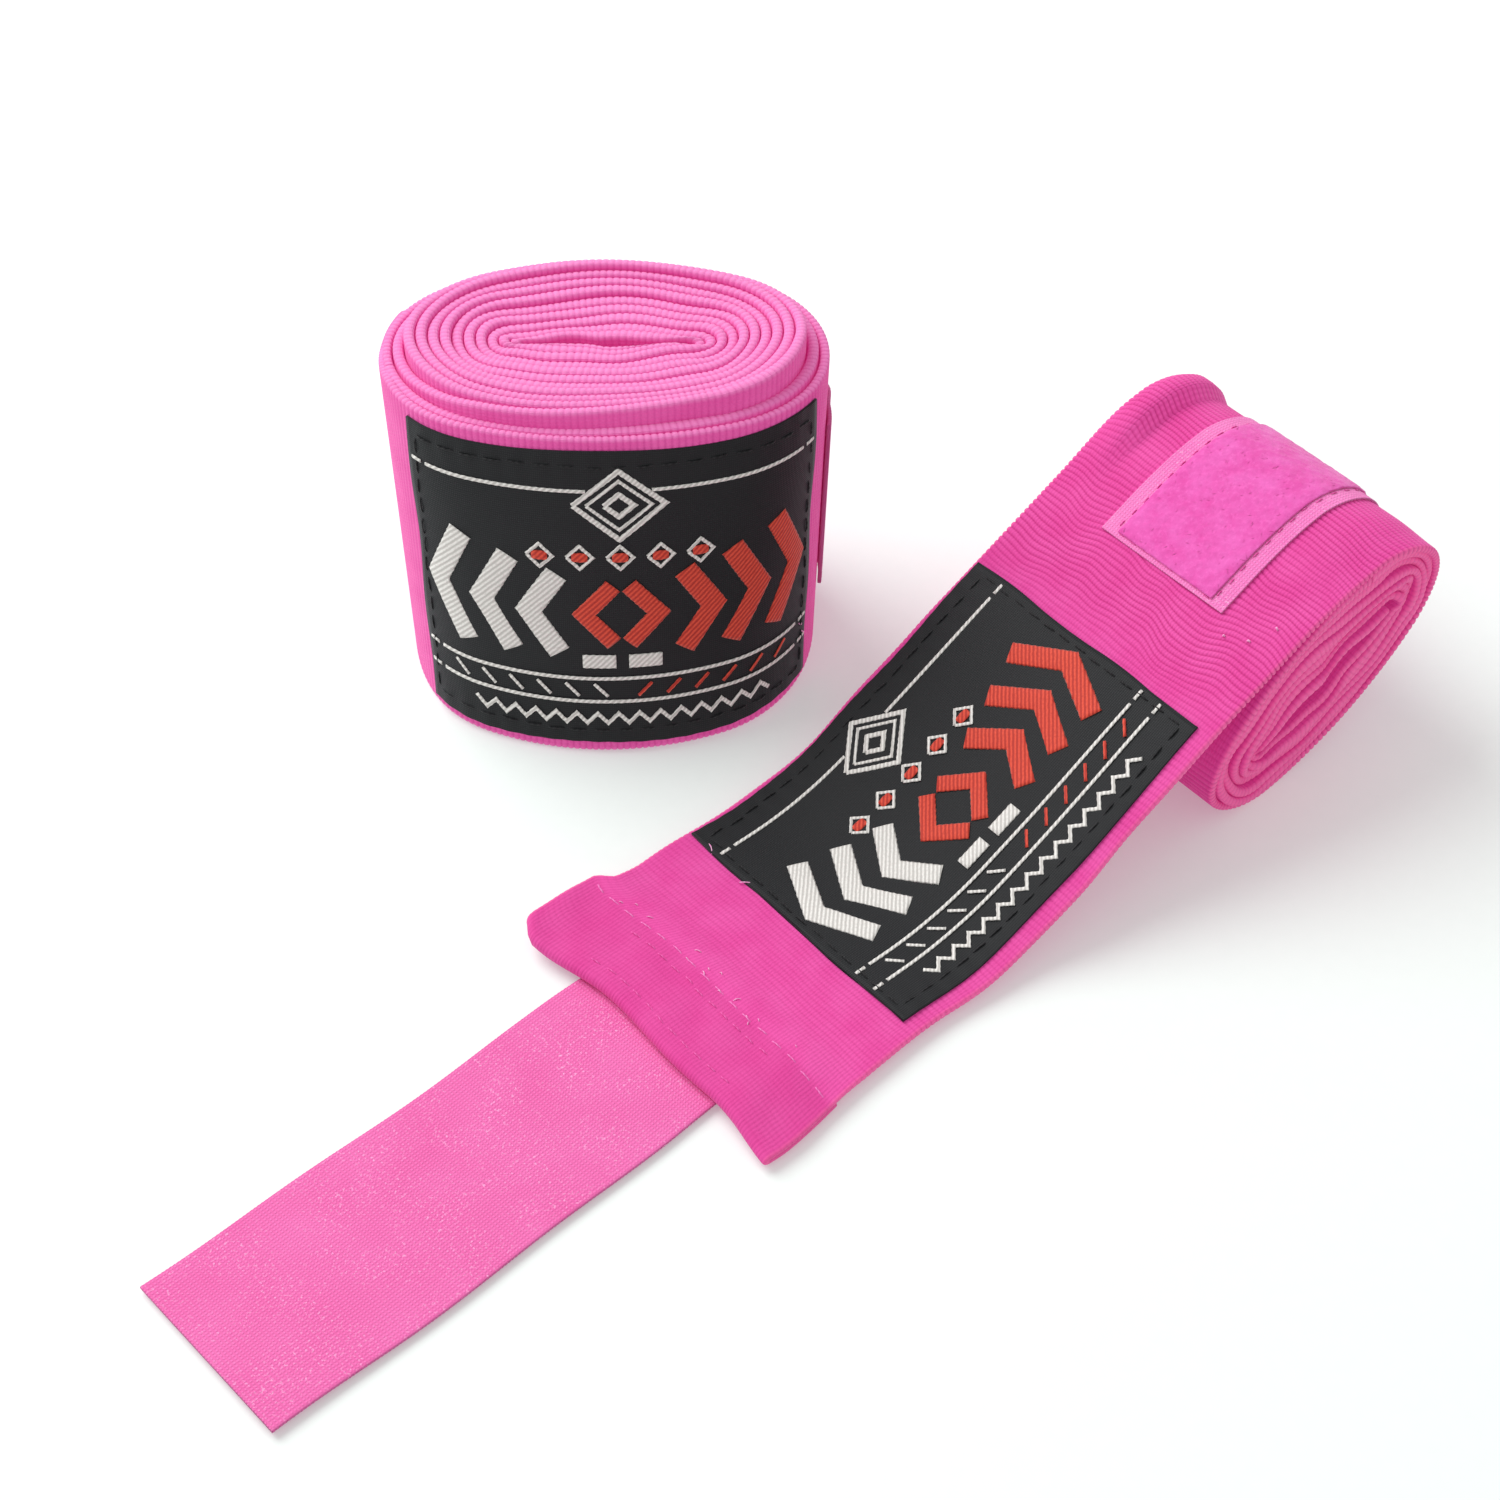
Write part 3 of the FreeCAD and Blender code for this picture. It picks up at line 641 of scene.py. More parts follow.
MATERIALS = {
    "band": band_cloth("pink_ribbed_elastic", (0.61, 0.078, 0.30), (0.56, 0.048, 0.245),
                       (0.36, 0.010, 0.11), (0.92, 0.16, 0.37)),
    "pale_band": band_cloth("pink_ribbed_elastic_pale", (0.70, 0.13, 0.38), (0.64, 0.09, 0.32),
                            (0.50, 0.04, 0.23), (0.79, 0.29, 0.565)),
    "tape": tape_cloth("hook_tape_weave", (0.785, 0.142, 0.41), (0.75, 0.110, 0.36)),
    "selvedge": tape_cloth("pale_selvedge_weave", (0.83, 0.20, 0.50), (0.78, 0.15, 0.44)),
    "pile": pile_cloth("loop_pile_brushed", (0.77, 0.125, 0.470), (0.71, 0.074, 0.372)),
    "label": woven_label("label_black_damask"),
    "white": thread("thread_white", (0.86, 0.84, 0.80), (0.55, 0.53, 0.50)),
    "red": thread("thread_red", (0.78, 0.085, 0.045), (0.45, 0.03, 0.02)),
    "black": thread("thread_black", (0.016, 0.016, 0.018), (0.005, 0.005, 0.006), 0.1),
    "seam": thread("thread_band_pink", (0.80, 0.11, 0.42), (0.66, 0.05, 0.29)),
    "hem_thread": thread("thread_hem_pink", (0.84, 0.20, 0.52), (0.76, 0.12, 0.42)),
    "pink": thread("thread_deep_pink", (0.60, 0.03, 0.20), (0.45, 0.01, 0.13)),
    "fleck": thread("thread_pale_pink", (0.93, 0.50, 0.74), (0.84, 0.3, 0.6)),
    "hooks": hook_plastic("hook_nylon"),
}


# ---- the band
def open_depth(rows):
    """Groove depth along the open wrap: flat at the sewn hem, deep where the elastic has shrunk."""
    depth = 0.03 + 0.05 * smooth(rows, 12, 20) + 0.11 * smooth(rows, 86, 91)
    depth = depth * (1 + 0.25 * np.sin(rows / 2.7) * np.sin(rows / 9.1 + 1))
    return depth - 0.06 * smooth(rows, 118, 140)


def rolled_depth(rows):
    return 0.04 + 0.09 * smooth(rows, 12, 20)


def open_waver(along, across):
    """The ribs between label and patch wander from side to side."""
    loose = smooth(along, 87, 93) * (1 - smooth(along, 108, 135))
    broad = (1.0 * np.sin(across / 4.6 + along / 11) + 0.5 * np.sin(across / 2.3 - along / 7 + 1)
             + 0.22 * np.sin(across / 1.1 + along / 2.3) + 0.3 * np.sin(across / 3.1 + along / 3.7))
    slight = 0.18 * np.sin(across / 6 + along / 9) + 0.10 * np.sin(across / 1.9 + along / 4)
    return loose * 0.62 * broad + smooth(along, 13, 20) * slight


def doubled_tone(rows):
    """The hem's doubled cloth lets less light through, so it looks deeper."""
    return 0.34 * (1 - smooth(rows, HEM_DEPTH - 1.6, HEM_DEPTH - 0.4))


def fold_rows(lead):
    """Rows for the hem and its fold: even over the hem, close together where the cloth turns."""
    reach = BAND_THICKNESS + LAYER_GAP / 2
    fold = math.pi * LAYER_GAP / 2
    run = np.linspace(-lead, -lead + HEM_DEPTH - reach, 30, endpoint=False)
    turn = np.linspace(reach - fold, reach, 9)
    return np.concatenate([run, turn])


def outer_band(kind, material, depth, waver, nodes, body=None):
    """The hem and the outer lap, as one strip."""
    wrap = WRAPS[kind]
    folded = fold_rows(wrap.lead)
    rows, crest = rib_rows(folded[-1], SECOND_LAP[kind], RIB_PITCH, RIB_ROWS)
    rows = np.concatenate([folded[:-1], rows])
    crest = np.concatenate([np.ones(len(folded) - 1), crest])
    outer = Pieces()
    ribbed_strip(outer, wrap, rows, crest, BAND_WIDTH / 2, -CLOTH_SWELL, BAND_TOP, depth(rows), 34,
                 waver, doubled_tone(rows))
    return outer.make(kind + "_band_outer", material, "band_cloth", nodes, body)


def inner_laps(kind, material, low, high, depth, columns, node, body):
    """The rest of the band, down to the roll's core, made more coarsely."""
    wrap, start = WRAPS[kind], SECOND_LAP[kind]
    rows, crest = rib_rows(start, wrap.plain.length - 0.5, RIB_PITCH, RIB_ROWS)
    inner = Pieces()
    ribbed_strip(inner, wrap, rows, crest, BAND_WIDTH / 2, low, high, depth, columns)
    inner = inner.make(kind + "_band_inner_laps", material, "band_cloth", [node], body)


def build_bands():
    """Both wraps' bands: each one's hem and outer lap, then its inner laps."""
    outer = outer_band("open", "band", open_depth, open_waver, ["open_band_tail", "open_hem"])
    hinge, label_edge = (WRAPS["open"].point(at, 0, 0) for at in (HINGE_AT, LABEL_END + 0.6))
    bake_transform(outer)
    inner_laps("open", "band", -CLOTH_SWELL, BAND_TOP + 0.08, 0.07, 10, "open_band_roll",
               "open_roll")
    outer = outer_band("rolled", "pale_band", rolled_depth, None, ["rolled_hem"], "rolled_wrap")
    inner_laps("rolled", "pale_band", -CLOTH_SWELL - 0.04, BAND_TOP + 0.2, 0.10, 8, "rolled_band",
               "rolled_wrap")


# ---- stitching
def seam(pieces, wrap, start, end, surface, length, pitch, radius):
    """Stitches from one (along, across) to another: arcs that dip into the cloth at both ends."""
    start, end = np.array(start, float), np.array(end, float)
    whole = np.linalg.norm(end - start)
    count = max(1, round(whole / pitch))
    way = (end - start) / whole
    spots = start + ((np.arange(count) + 0.5) / count)[:, None] * (end - start)
    spots += rng.normal(0, STITCH_STRAY, spots.shape)
    share = np.array([-1, -0.86, -0.5, 0, 0.5, 0.86, 1])
    rise = radius * (0.9 - 1.9 * share ** 4)
    taper = radius * np.array([0.55, 0.9, 1, 1, 1, 0.9, 0.55])
    for (along, across), tilt in zip(spots, rng.normal(0, STITCH_TILT, count)):
        ahead, aside = way[0] - tilt * way[1], way[1] + tilt * way[0]
        line = np.stack([along + share * ahead * length / 2, surface + rise,
                         across + share * aside * length / 2], -1)
        tube(pieces, wrap, line, taper, 7, (-aside, ahead))


def build_seams(kind):
    """The hem's seam, the seam that holds the tongue, and the box of stitches round the label."""
    wrap, body = WRAPS[kind], TAIL_BODY[kind]
    surface = BAND_TOP - 0.04
    hem, tongue, label = Pieces(), Pieces(), Pieces()
    edge = BAND_WIDTH / 2 - 1.0
    seam(hem, wrap, (HEM_DEPTH - 1.2, -edge), (HEM_DEPTH - 1.2, edge), surface, 2.0, 3.0, 0.12)
    hem.make(kind + "_hem_seam", "hem_thread", "pink_thread", [kind + "_hem_stitching"], body)

    half = TONGUE_WIDTH / 2
    for along in (2.6, HEM_DEPTH - 3.4):
        seam(tongue, wrap, (along, -half), (along, half), surface, 1.9, 2.7, 0.12)
    tongue.make(kind + "_tongue_seam", "seam", "pink_thread", [kind + "_tongue_stitching"], body)

    surface = BAND_THICKNESS + LAYER_GAP + LABEL_THICKNESS + 0.06
    inset, side = 1.4, LABEL_WIDTH / 2 - 2.2
    ahead, aside = LABEL_MOVED[kind]
    first, last = LABEL_START + inset + ahead, LABEL_END - inset + ahead
    for across in (aside - side, aside + side):
        seam(label, wrap, (first, across), (last, across), surface, 2.5, 3.3, 0.12)
    for along in (first, last):
        seam(label, wrap, (along, aside - side), (along, aside + side), surface, 2.5, 3.3, 0.12)
    label.make(kind + "_label_seam", "black", "label_thread", [kind + "_label_stitching"], body)


# ---- the woven label
def build_label(kind):
    """A satin label with folded edges, a touch puckered between its stitches."""
    wrap, radius = WRAPS[kind], LABEL_THICKNESS / 2
    rows = plain_rows(LABEL_START, LABEL_END, 0.75)
    along, spread, outward = plain_strip(rows, LABEL_WIDTH / 2, radius, 56)
    pucker = 0.05 * np.sin(along * TURN / 3.3) * smooth(np.abs(spread), 17, 20.5)
    sag = 0.06 * np.sin(along / 5.3 + spread / 9) + 0.04 * np.sin(spread / 3.1)
    end = np.abs(along - (LABEL_START + LABEL_END) / 2) / (LABEL_LENGTH / 2)
    along = along + smooth(end, 0.9, 1) * 0.22 * np.sin(spread / 3.7 + along)
    lift = np.where(outward > 0, 1, 0.2) * (pucker + sag + 0.05)
    out = ON_BAND + radius + outward * radius + lift
    spread = spread + 0.15 * np.sin(along / 4.9) * smooth(np.abs(spread), 15, 22)
    ahead, aside = LABEL_MOVED[kind]
    label = Pieces()
    label.loft(wrap.points(along + ahead, out, spread + aside),
               np.stack([along, spread + outward], -1) / CHART)
    label = label.make(kind + "_label_cloth", "label", "label_cloth", [kind + "_label"],
                       TAIL_BODY[kind])


def stroke(pieces, wrap, corners, width, surface, step=0.55):
    """A raised woven line through (along, across) corners, mitred where it turns."""
    corners = np.array(corners, float)
    ways = np.diff(corners, axis=0)
    lengths = np.linalg.norm(ways, axis=1)
    ways = ways / lengths[:, None]
    sides = np.stack([-ways[:, 1], ways[:, 0]], -1)
    mitres = [sides[0]]
    for before, after in zip(sides[:-1], sides[1:]):
        mitres.append((before + after) / (1 + before @ after))
    mitres.append(sides[-1])
    rows, offsets = [], []
    for i, length in enumerate(lengths):
        count = max(2, round(length / step))
        share = np.linspace(0, 1, count + 1)[(1 if i else 0):, None]
        rows.append(corners[i] + share * (corners[i + 1] - corners[i]))
        offsets.append(mitres[i] + share * (mitres[i + 1] - mitres[i]))
    rows, offsets = np.concatenate(rows), np.concatenate(offsets)
    ragged = 1 + 0.10 * np.where(np.arange(len(rows)) % 2 == 0, 1, -1) * min(1, 0.7 / width)
    profile = np.array([-0.5, -0.42, -0.2, 0.2, 0.42, 0.5, 0.0])
    height = np.array([0.0, 0.09, 0.13, 0.13, 0.09, 0.0, -0.05])
    aside = offsets[:, None, :] * (width * profile)[None, :, None] * ragged[:, None, None]
    spots = rows[:, None, :] + aside
    out = surface + height[None, :] + 0 * spots[..., 0]
    pieces.loft(wrap.points(spots[..., 0], out, spots[..., 1]), spots / CHART)


def build_motif(kind):
    """A plain woven pattern: border lines, lozenges, chevrons, bars, ticks and a zigzag."""
    wrap = WRAPS[kind]
    surface = BAND_TOP + LABEL_THICKNESS + 0.08
    ahead, aside = LABEL_MOVED[kind]
    middle, half = (LABEL_START + LABEL_END) / 2 + ahead, LABEL_LENGTH / 2
    white, red = Pieces(), Pieces()

    def line(pieces, corners, width):
        placed = [(middle + along, aside + across) for along, across in corners]
        stroke(pieces, wrap, placed, width, surface)

    def lozenge(along, across, reach, tall, close, width):
        line(white, [(along - reach, across), (along, across - tall), (along + reach, across),
                     (along, across + tall), (along - reach + 0.05, across + close)], width)

    top, first_line, second_line, fine = -17.4, 12.4, 16.2, 0.55
    tab = half - 2.4, half - 0.7
    for side in (-1, 1):
        line(white, [(side * 4.4, top), (side * (half - 3.2), top)], fine)
        for across in (top, first_line, second_line):
            line(white, [(side * tab[0], across), (side * tab[1], across)], fine)
    for across in (first_line, second_line):
        line(white, [(-half + 3.2, across), (half - 3.2, across)], fine)
    for reach, width in ((6.2, 0.8), (4.4, 0.5), (2.0, 0.8)):
        lozenge(0, top + 2.2, reach, 0.85 * reach, 0.03, width)
    slant, centre_line = 4.2, 2.0
    for step in range(3):
        tip, tall = 13.0 + 6.7 * step, 6.3 + 1.2 * step
        centre = centre_line - 0.9 * step
        for side, pieces in ((-1, white), (1, red)):
            line(pieces, [(side * (tip - slant), centre - tall), (side * tip, centre),
                          (side * (tip - slant), centre + tall)], 3.3)
    for side in (-1, 1):
        line(red, [(side * 1.1, centre_line - 4.6), (side * 5.2, centre_line),
                   (side * 1.1, centre_line + 4.6)], 2.6)
        line(white, [(side * 0.9, 9.6), (side * 5.6, 9.6)], 2.2)
    for step in range(-2, 3):
        spot, row, size = 5.5 * step, -7.1, 1.8
        lozenge(spot, row, size, size, 0.05, 0.5)
        line(red, [(spot - 1.1, row), (spot + 1.1, row)], 1.5)
    for step in range(12):
        place = 2.2 + 4.1 * (step // 2)
        side, pieces = (-1, white) if step % 2 else (1, red)
        line(pieces, [(side * place, 15.3), (side * (place + 1.9), 13.3)], 0.5)
    zigzag = [(-21.75 + 1.5 * k, 19.0 + (0.8 if k % 2 else -0.8)) for k in range(30)]
    line(white, zigzag, 0.6)
    for pieces, colour in ((white, "white"), (red, "red")):
        pieces.make(f"{kind}_label_motif_{colour}", colour, "label_thread", (), TAIL_BODY[kind])


# ---- the loop patch
def build_patch(kind):
    """Ground tape with pale selvedges, brushed pile between them, and their seam."""
    wrap, body = WRAPS[kind], ROLL_BODY[kind]
    ground = Pieces()
    rows, crest = rib_rows(PATCH_START, PATCH_END, 0.6, 3)
    ribbed_strip(ground, wrap, rows, crest, PATCH_WIDTH / 2, ON_BAND, ON_BAND + PATCH_THICKNESS,
                 0.04, 40)
    ground = ground.make(kind + "_patch_tape", "selvedge", "loop_tape", [kind + "_loop_patch"],
                         body)

    surface = ON_BAND + PATCH_THICKNESS - 0.03
    half = PATCH_WIDTH / 2 - SELVEDGE
    start, end = PATCH_START + SELVEDGE / 2 - 0.6, PATCH_END - SELVEDGE / 2 + 0.6
    radius = PILE_HEIGHT / 2
    along, spread, outward = plain_strip(plain_rows(start, end, 0.3), half, radius, 66)
    tufts = sum(np.sin(along * a + spread * b + c) for a, b, c in (
        (1.9, 0.7, 0), (-0.8, 2.3, 1), (2.9, -1.8, 2), (3.7, 3.1, 4), (-4.9, 2.2, 5)))
    tufts = 0.02 * tufts + rng.normal(0, 0.014, along.shape)
    inside = np.minimum(smooth(half - np.abs(spread), -0.3, 1.0),
                        smooth(np.minimum(along - start, end - along), 0, 1.0))
    height = np.where(outward > 0.1, outward * radius * (0.35 + 0.65 * inside) + tufts,
                      outward * radius)
    pile = Pieces()
    pile.loft(wrap.points(along, surface + radius + height, spread),
              np.stack([along, spread], -1) / CHART)
    top = surface + PILE_HEIGHT - 0.05
    roots = np.stack([rng.uniform(start + 0.5, end - 0.5, PILE_FIBRES),
                      rng.uniform(-half + 0.4, half - 0.4, PILE_FIBRES)], -1)
    turned = rng.uniform(0, TURN, PILE_FIBRES)
    spans = rng.uniform(0.5, 1.3, PILE_FIBRES)
    bend = np.array([-0.5, -0.25, 0.1, 0.5])
    rise = np.array([-0.10, 0.04, 0.05, -0.06])
    for (a, c), angle, span in zip(roots, turned, spans):
        line = np.stack([a + bend * span * math.cos(angle), top + rise,
                         c + bend * span * math.sin(angle) + 0.2 * rise], -1)
        tube(pile, wrap, line, np.full(4, 0.035), 3, (-math.sin(angle), math.cos(angle)))
    pile.make(kind + "_patch_pile", "pile", "loop_pile", [kind + "_loop_pile"], body)

    stitches = Pieces()
    side = half + 0.35
    for across_at in (-side, side):
        seam(stitches, wrap, (PATCH_START + 1, across_at), (PATCH_END - 1, across_at),
             surface, 1.2, 2.5, 0.11)
    for along_at in (PATCH_START + 0.8, PATCH_END - 0.8):
        seam(stitches, wrap, (along_at, -side), (along_at, side), surface - 0.01, 1.2, 2.4, 0.10)
    stitches.make(kind + "_patch_seam", "seam", "pink_thread", [kind + "_patch_stitching"], body)


# ---- the hook tongue
class Tongue:
    """Places the tongue's points: along from the hem's edge to the tip, out away from its hooks."""

    def __init__(self, kind):
        self.kind, self.wrap = kind, WRAPS[kind]
        if kind == "rolled":
            x, y, heading = rolled_line.at(0)
            edge = np.array([x - math.sin(heading) * BAND_THICKNESS,
                             y + math.cos(heading) * BAND_THICKNESS])
            tries = np.arange(LABEL_END, LABEL_END + 150, 0.25)
            x, y, _ = rolled_line.at(tries)
            self.under = tries[np.argmin(np.hypot(x - edge[0], y - edge[1]))]

    def points(self, along, out, across):
        """along is 0 at the hem's edge and grows to the tip; out is 0 at the tape's hooked side."""
        if self.kind == "rolled":
            at = self.under - along
            over_patch = smooth(at, PATCH_START - 2, PATCH_START + 2) * (
                1 - smooth(at, PATCH_END, PATCH_END + 4))
            level = BAND_THICKNESS + CLOSED_TAPE - 1.7 + 0.9 * over_patch
            level = level - 0.4 * (1 - smooth(along, -3, 1))
            return self.wrap.points(at, level + out, across)
        yaw = math.radians(TONGUE_YAW)
        bow = 0.5 * np.sin(along / TONGUE_LENGTH * math.pi) * smooth(along, 0, 10)
        bow = bow + 0.2 * np.sin(along / 6.1) * across / 14
        lift = 0.25 * smooth(along, 50, 72) * (0.5 + 0.5 * np.sin(across / 9)) * smooth(out, -1, 0)
        x = -along * math.cos(yaw) + (across + bow) * math.sin(yaw)
        y = -(across + bow) * math.cos(yaw) - along * math.sin(yaw)
        local = np.stack(np.broadcast_arrays(x, y, LAID_TAPE + out + lift), -1)
        return (local + np.array(open_origin)) * MM


def build_tongue(kind):
    """The hook tape from its sewn end to its tip, and the field of hooks under it."""
    place = Tongue(kind)
    tape = Pieces()
    rows, crest = rib_rows(-TAPE_SEWN, TONGUE_GAP + TONGUE_LENGTH, 0.6, 2)
    half = TONGUE_WIDTH / 2
    ribbed_strip(tape, place, rows, crest, half, 0.0, TAPE_THICKNESS, 0.035, 40)
    tape = tape.make(kind + "_tongue_tape", "tape", "hook_tape",
                     [kind + "_hook_tape", kind + "_hook_tape_root"])
    start, end = (Vector(place.points(*np.array([along, 0.0, 0.0]))) for along in (0.3, 4.5))
    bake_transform(tape)

    hooks = Pieces()
    share = np.array([0.0, 0.35, 0.62, 0.82, 0.95, 1.0, 0.9])
    drop = np.array([0.12, -0.16, -0.33, -0.45, -0.42, -0.30, -0.2])
    lean = np.array([0.0, 0.02, 0.06, 0.16, 0.32, 0.42, 0.43])
    thick = 0.075 * np.array([1.3, 1.0, 0.95, 0.9, 0.85, 0.75, 0.4])
    first, last = TONGUE_GAP + HOOK_MARGIN + 0.4, TONGUE_GAP + TONGUE_LENGTH - HOOK_MARGIN - 0.6
    reach = half - HOOK_MARGIN - 0.5
    for i, along in enumerate(plain_rows(first, last, 1.45)):
        for across in plain_rows(-reach, reach, 1.5):
            facing = 1 if i % 2 else -1
            line = np.stack([along + facing * lean, drop * (0.6 + 0.4 * share),
                             across + 0.1 * share * facing], -1)
            tube(hooks, place, line, thick, 5, (0, 1))
    hooks = hooks.make(kind + "_tongue_hooks", "hooks", "hooks", [kind + "_hook_field"])
    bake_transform(hooks)


# ---- thumb loops in the rolls' cores
class Core:
    """Places a strap folded to and fro in a roll's core: along the folds, out of its face."""

    def __init__(self, kind, length, folds, bend):
        self.wrap, self.bend, self.length = WRAPS[kind], bend, length
        low, high = (np.array(corner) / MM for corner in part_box(kind + "_thumb_loop"))
        middle = ((low + high) / 2 - self.wrap.origin) @ self.wrap.basis
        self.lean = OPEN_LEAN if kind == "open" else 0.0
        self.middle = middle[:2]
        top = (folds * STRAP_THICKNESS + (folds - 1) * STRAP_GAP) / 2 - STRAP_THICKNESS
        stretches = []
        for fold in range(folds):
            right = fold % 2 == 0
            radius = STRAP_GAP / 2 if right else STRAP_GAP / 2 + STRAP_THICKNESS
            stretches += [(length, 0.0), (math.pi * radius, (-1 if right else 1) / radius)]
        self.path = Path(-length / 2, top, 0.0, stretches[:-1])

    def points(self, along, out, across):
        along, out, across = np.broadcast_arrays(along, out, across)
        x, y, heading = self.path.at(along)
        x, y = x - np.sin(heading) * out, y + np.cos(heading) * out
        y = y + self.bend * np.sin(x / self.length * 6.5 + 0.6)
        x, y = rotated(x, y, self.lean)
        local = np.stack([self.middle[0] + x, self.middle[1] + y, across + 0 * x], -1)
        return self.wrap.placed(local, self.wrap.plain.length + 0 * x)


def build_thumb_loop(kind, length, folds, bend):
    """The strap in the roll's core, and the row of bar-tack stitches that holds it."""
    place, body = Core(kind, length, folds, bend), ROLL_BODY[kind]
    rows, crest = rib_rows(0, place.path.length, 1.15, 4)
    turning = np.diff(place.path.at(rows)[2], prepend=0) ** 2 > 1e-6
    strap = Pieces()
    ribbed_strip(strap, place, rows, crest, STRAP_WIDTH / 2, 0.0, STRAP_THICKNESS,
                 np.where(turning, 0.02, 0.10), 10)
    strap = strap.make(kind + "_thumb_loop_strap", "pale_band", "loop_strap",
                       [kind + "_thumb_loop"], body)
    tack = Pieces()
    ring = np.linspace(0, TURN, 6, endpoint=False)
    first = TACK_WIDTH / 2 - TACK_PITCH
    for across in plain_rows(-first, first, TACK_PITCH):
        ends = np.array([(0.2, across - 0.3), (1.8, across + 0.3)])
        out = -STRAP_GAP / 2 + 0.14 * np.cos(ring)[None] + 0 * ends[:, :1]
        spread = ends[:, 1:] + 0.25 * np.sin(ring)[None]
        tack.loft(place.points(ends[:, :1], out, spread), np.stack([out, spread], -1) / CHART)
    tack.make(kind + "_thumb_loop_tack", "pink", "pink_thread", [kind + "_thumb_loop_bartack"],
              body)


# ---- lint and loose ends
def wisps(pieces, wrap, spots, reach, surface, radius):
    """Short curled fibres lying on the cloth."""
    share = np.linspace(0, 1, 7)
    for along, across in spots:
        angle, curl = rng.normal(TURN / 4, 0.5), rng.uniform(-0.9, 0.9)
        heading = angle + curl * share
        length = reach * rng.uniform(0.6, 1.4) / 6
        a = along + np.concatenate([[0], np.cumsum(np.cos(heading))[:-1]]) * length
        c = across + np.concatenate([[0], np.cumsum(np.sin(heading))[:-1]]) * length
        line = np.stack([a, surface + radius + 0.25 * np.sin(share * math.pi), c], -1)
        tube(pieces, wrap, line, np.full(7, radius), 5, (-math.sin(angle), math.cos(angle)))


def build_loose_threads():
    """Loose thread ends at the label's corners and a few flecks on the open wrap's cloth."""
    tail, roll, rolled = Pieces(), Pieces(), Pieces()
    wisps(tail, WRAPS["open"], [(LABEL_START - 0.6, -12.5), (LABEL_START + 0.8, -21.3)], 1.6,
          BAND_TOP + 0.1, 0.09)
    wisps(tail, WRAPS["open"], [(HEM_DEPTH + rng.uniform(-1.5, 1), rng.uniform(-20, 16))
                                for _ in range(14)], 0.8, BAND_TOP - 0.15, 0.08)
    wisps(roll, WRAPS["open"], [(PATCH_START - 2.5, 15.0), (PATCH_START - 1, 18.5),
                                (PATCH_START + 3, 20.5)], 0.5, BAND_TOP - 0.1, 0.16)
    wisps(rolled, WRAPS["rolled"], [(LABEL_END - 0.3, 13.5), (LABEL_END + 0.2, 15.2)], 1.6,
          BAND_TOP + 0.1, 0.09)
    tail.make("open_tail_loose_threads", "fleck", "pink_thread", (), "open_tail")
    roll.make("open_roll_loose_threads", "fleck", "pink_thread", (), "open_roll")
    rolled.make("rolled_loose_threads", "fleck", "pink_thread", (), "rolled_wrap")


# ---- camera, floor and light
CAMERA_TARGET = Vector((open_origin[0] + 46.50, open_origin[1] + 32.40, 0)) * MM
CAMERA_DISTANCE, CAMERA_ELEVATION, CAMERA_LENS = 0.430, math.radians(47), 69.2
CAMERA_HEADING = Vector((0.652, 0.758, 0)).normalized()
FLOOR_REACH, FLOOR_GLOW = 3.0, 0.24  # metres from the middle to each edge; emission strength
KEY_PLACE, KEY_SIZE, KEY_WATTS = Vector((-0.12, 0.62, 0.70)), 0.85, 9.2
SURROUND = 0.65


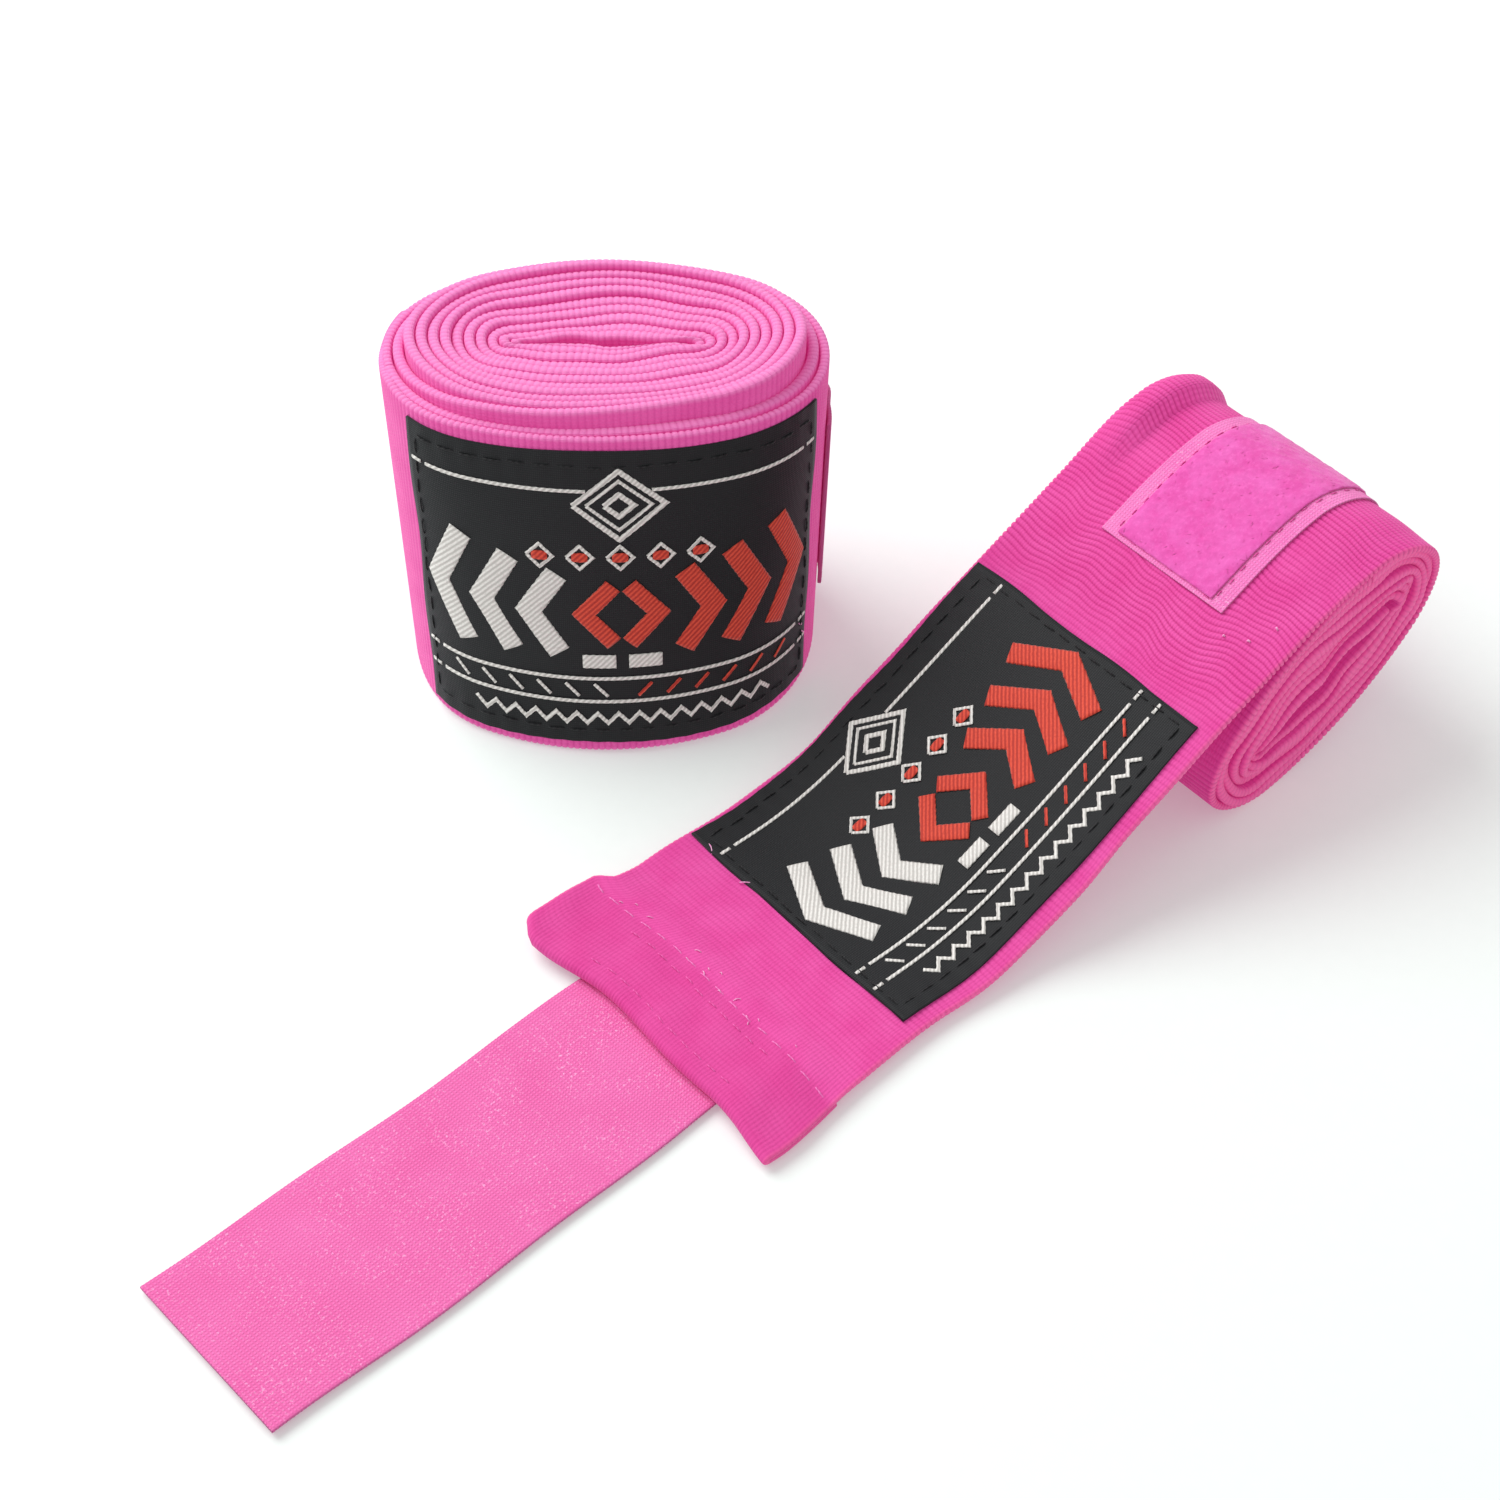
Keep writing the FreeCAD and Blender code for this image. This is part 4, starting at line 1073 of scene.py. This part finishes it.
def set_camera():
    camera = bpy.data.objects.new("camera", bpy.data.cameras.new("camera"))
    bpy.context.scene.collection.objects.link(camera)
    level = CAMERA_HEADING * math.cos(CAMERA_ELEVATION)
    camera.location = CAMERA_TARGET - CAMERA_DISTANCE * (level - Vector((0, 0, 1))
                                                         * math.sin(CAMERA_ELEVATION))
    look = CAMERA_TARGET - camera.location
    camera.rotation_euler = look.to_track_quat("-Z", "Y").to_euler()
    camera.data.lens = CAMERA_LENS
    camera.data.sensor_width = 36
    camera.data.clip_start = 0.01
    bpy.context.scene.camera = camera


def set_stage():
    """A pale floor, a broad key light from the far left and an even white surround."""
    floor_mesh = bpy.data.meshes.new("floor")
    corners = [(x * FLOOR_REACH, y * FLOOR_REACH, 0)
               for x, y in ((-1, -1), (1, -1), (1, 1), (-1, 1))]
    floor_mesh.from_pydata(corners, [], [(0, 1, 2, 3)])
    floor = bpy.data.objects.new("floor", floor_mesh)
    bpy.context.scene.collection.objects.link(floor)
    paper = Shader("floor_paper", on_chart=False)
    faint = paper.mix(paper.noise(400), (0.63, 0.68, 0.655), (0.65, 0.70, 0.675))
    floor_mesh.materials.append(paper.done(faint, paper.noise(900), 0.02, 0.05, 0.9, 0.0))
    skin = next(n for n in paper.tree.nodes if n.type == "BSDF_PRINCIPLED")
    skin.inputs["Emission Color"].default_value = (1, 1, 1, 1)
    skin.inputs["Emission Strength"].default_value = FLOOR_GLOW
    key = bpy.data.objects.new("key_light", bpy.data.lights.new("key_light", "AREA"))
    key.data.shape = "DISK"
    key.data.size = KEY_SIZE
    key.data.energy = KEY_WATTS
    key.location = KEY_PLACE
    key.rotation_euler = (-KEY_PLACE).to_track_quat("-Z", "Y").to_euler()
    bpy.context.scene.collection.objects.link(key)
    world = bpy.data.worlds.new("studio")
    world.use_nodes = True
    world.node_tree.nodes["Background"].inputs["Color"].default_value = (1, 1, 1, 1)
    world.node_tree.nodes["Background"].inputs["Strength"].default_value = SURROUND
    bpy.context.scene.world = world
    bpy.context.scene.view_settings.view_transform = "Standard"


set_camera()
set_stage()
build_bands()
for wrap_kind in ("open", "rolled"):
    build_seams(wrap_kind)
    build_label(wrap_kind)
    build_motif(wrap_kind)
    build_patch(wrap_kind)
    build_tongue(wrap_kind)
build_thumb_loop("open", OPEN_STRAP_RUN, OPEN_STRAP_FOLDS, 0.15)
build_thumb_loop("rolled", ROLLED_STRAP_RUN, ROLLED_STRAP_FOLDS, 0.6)
build_loose_threads()
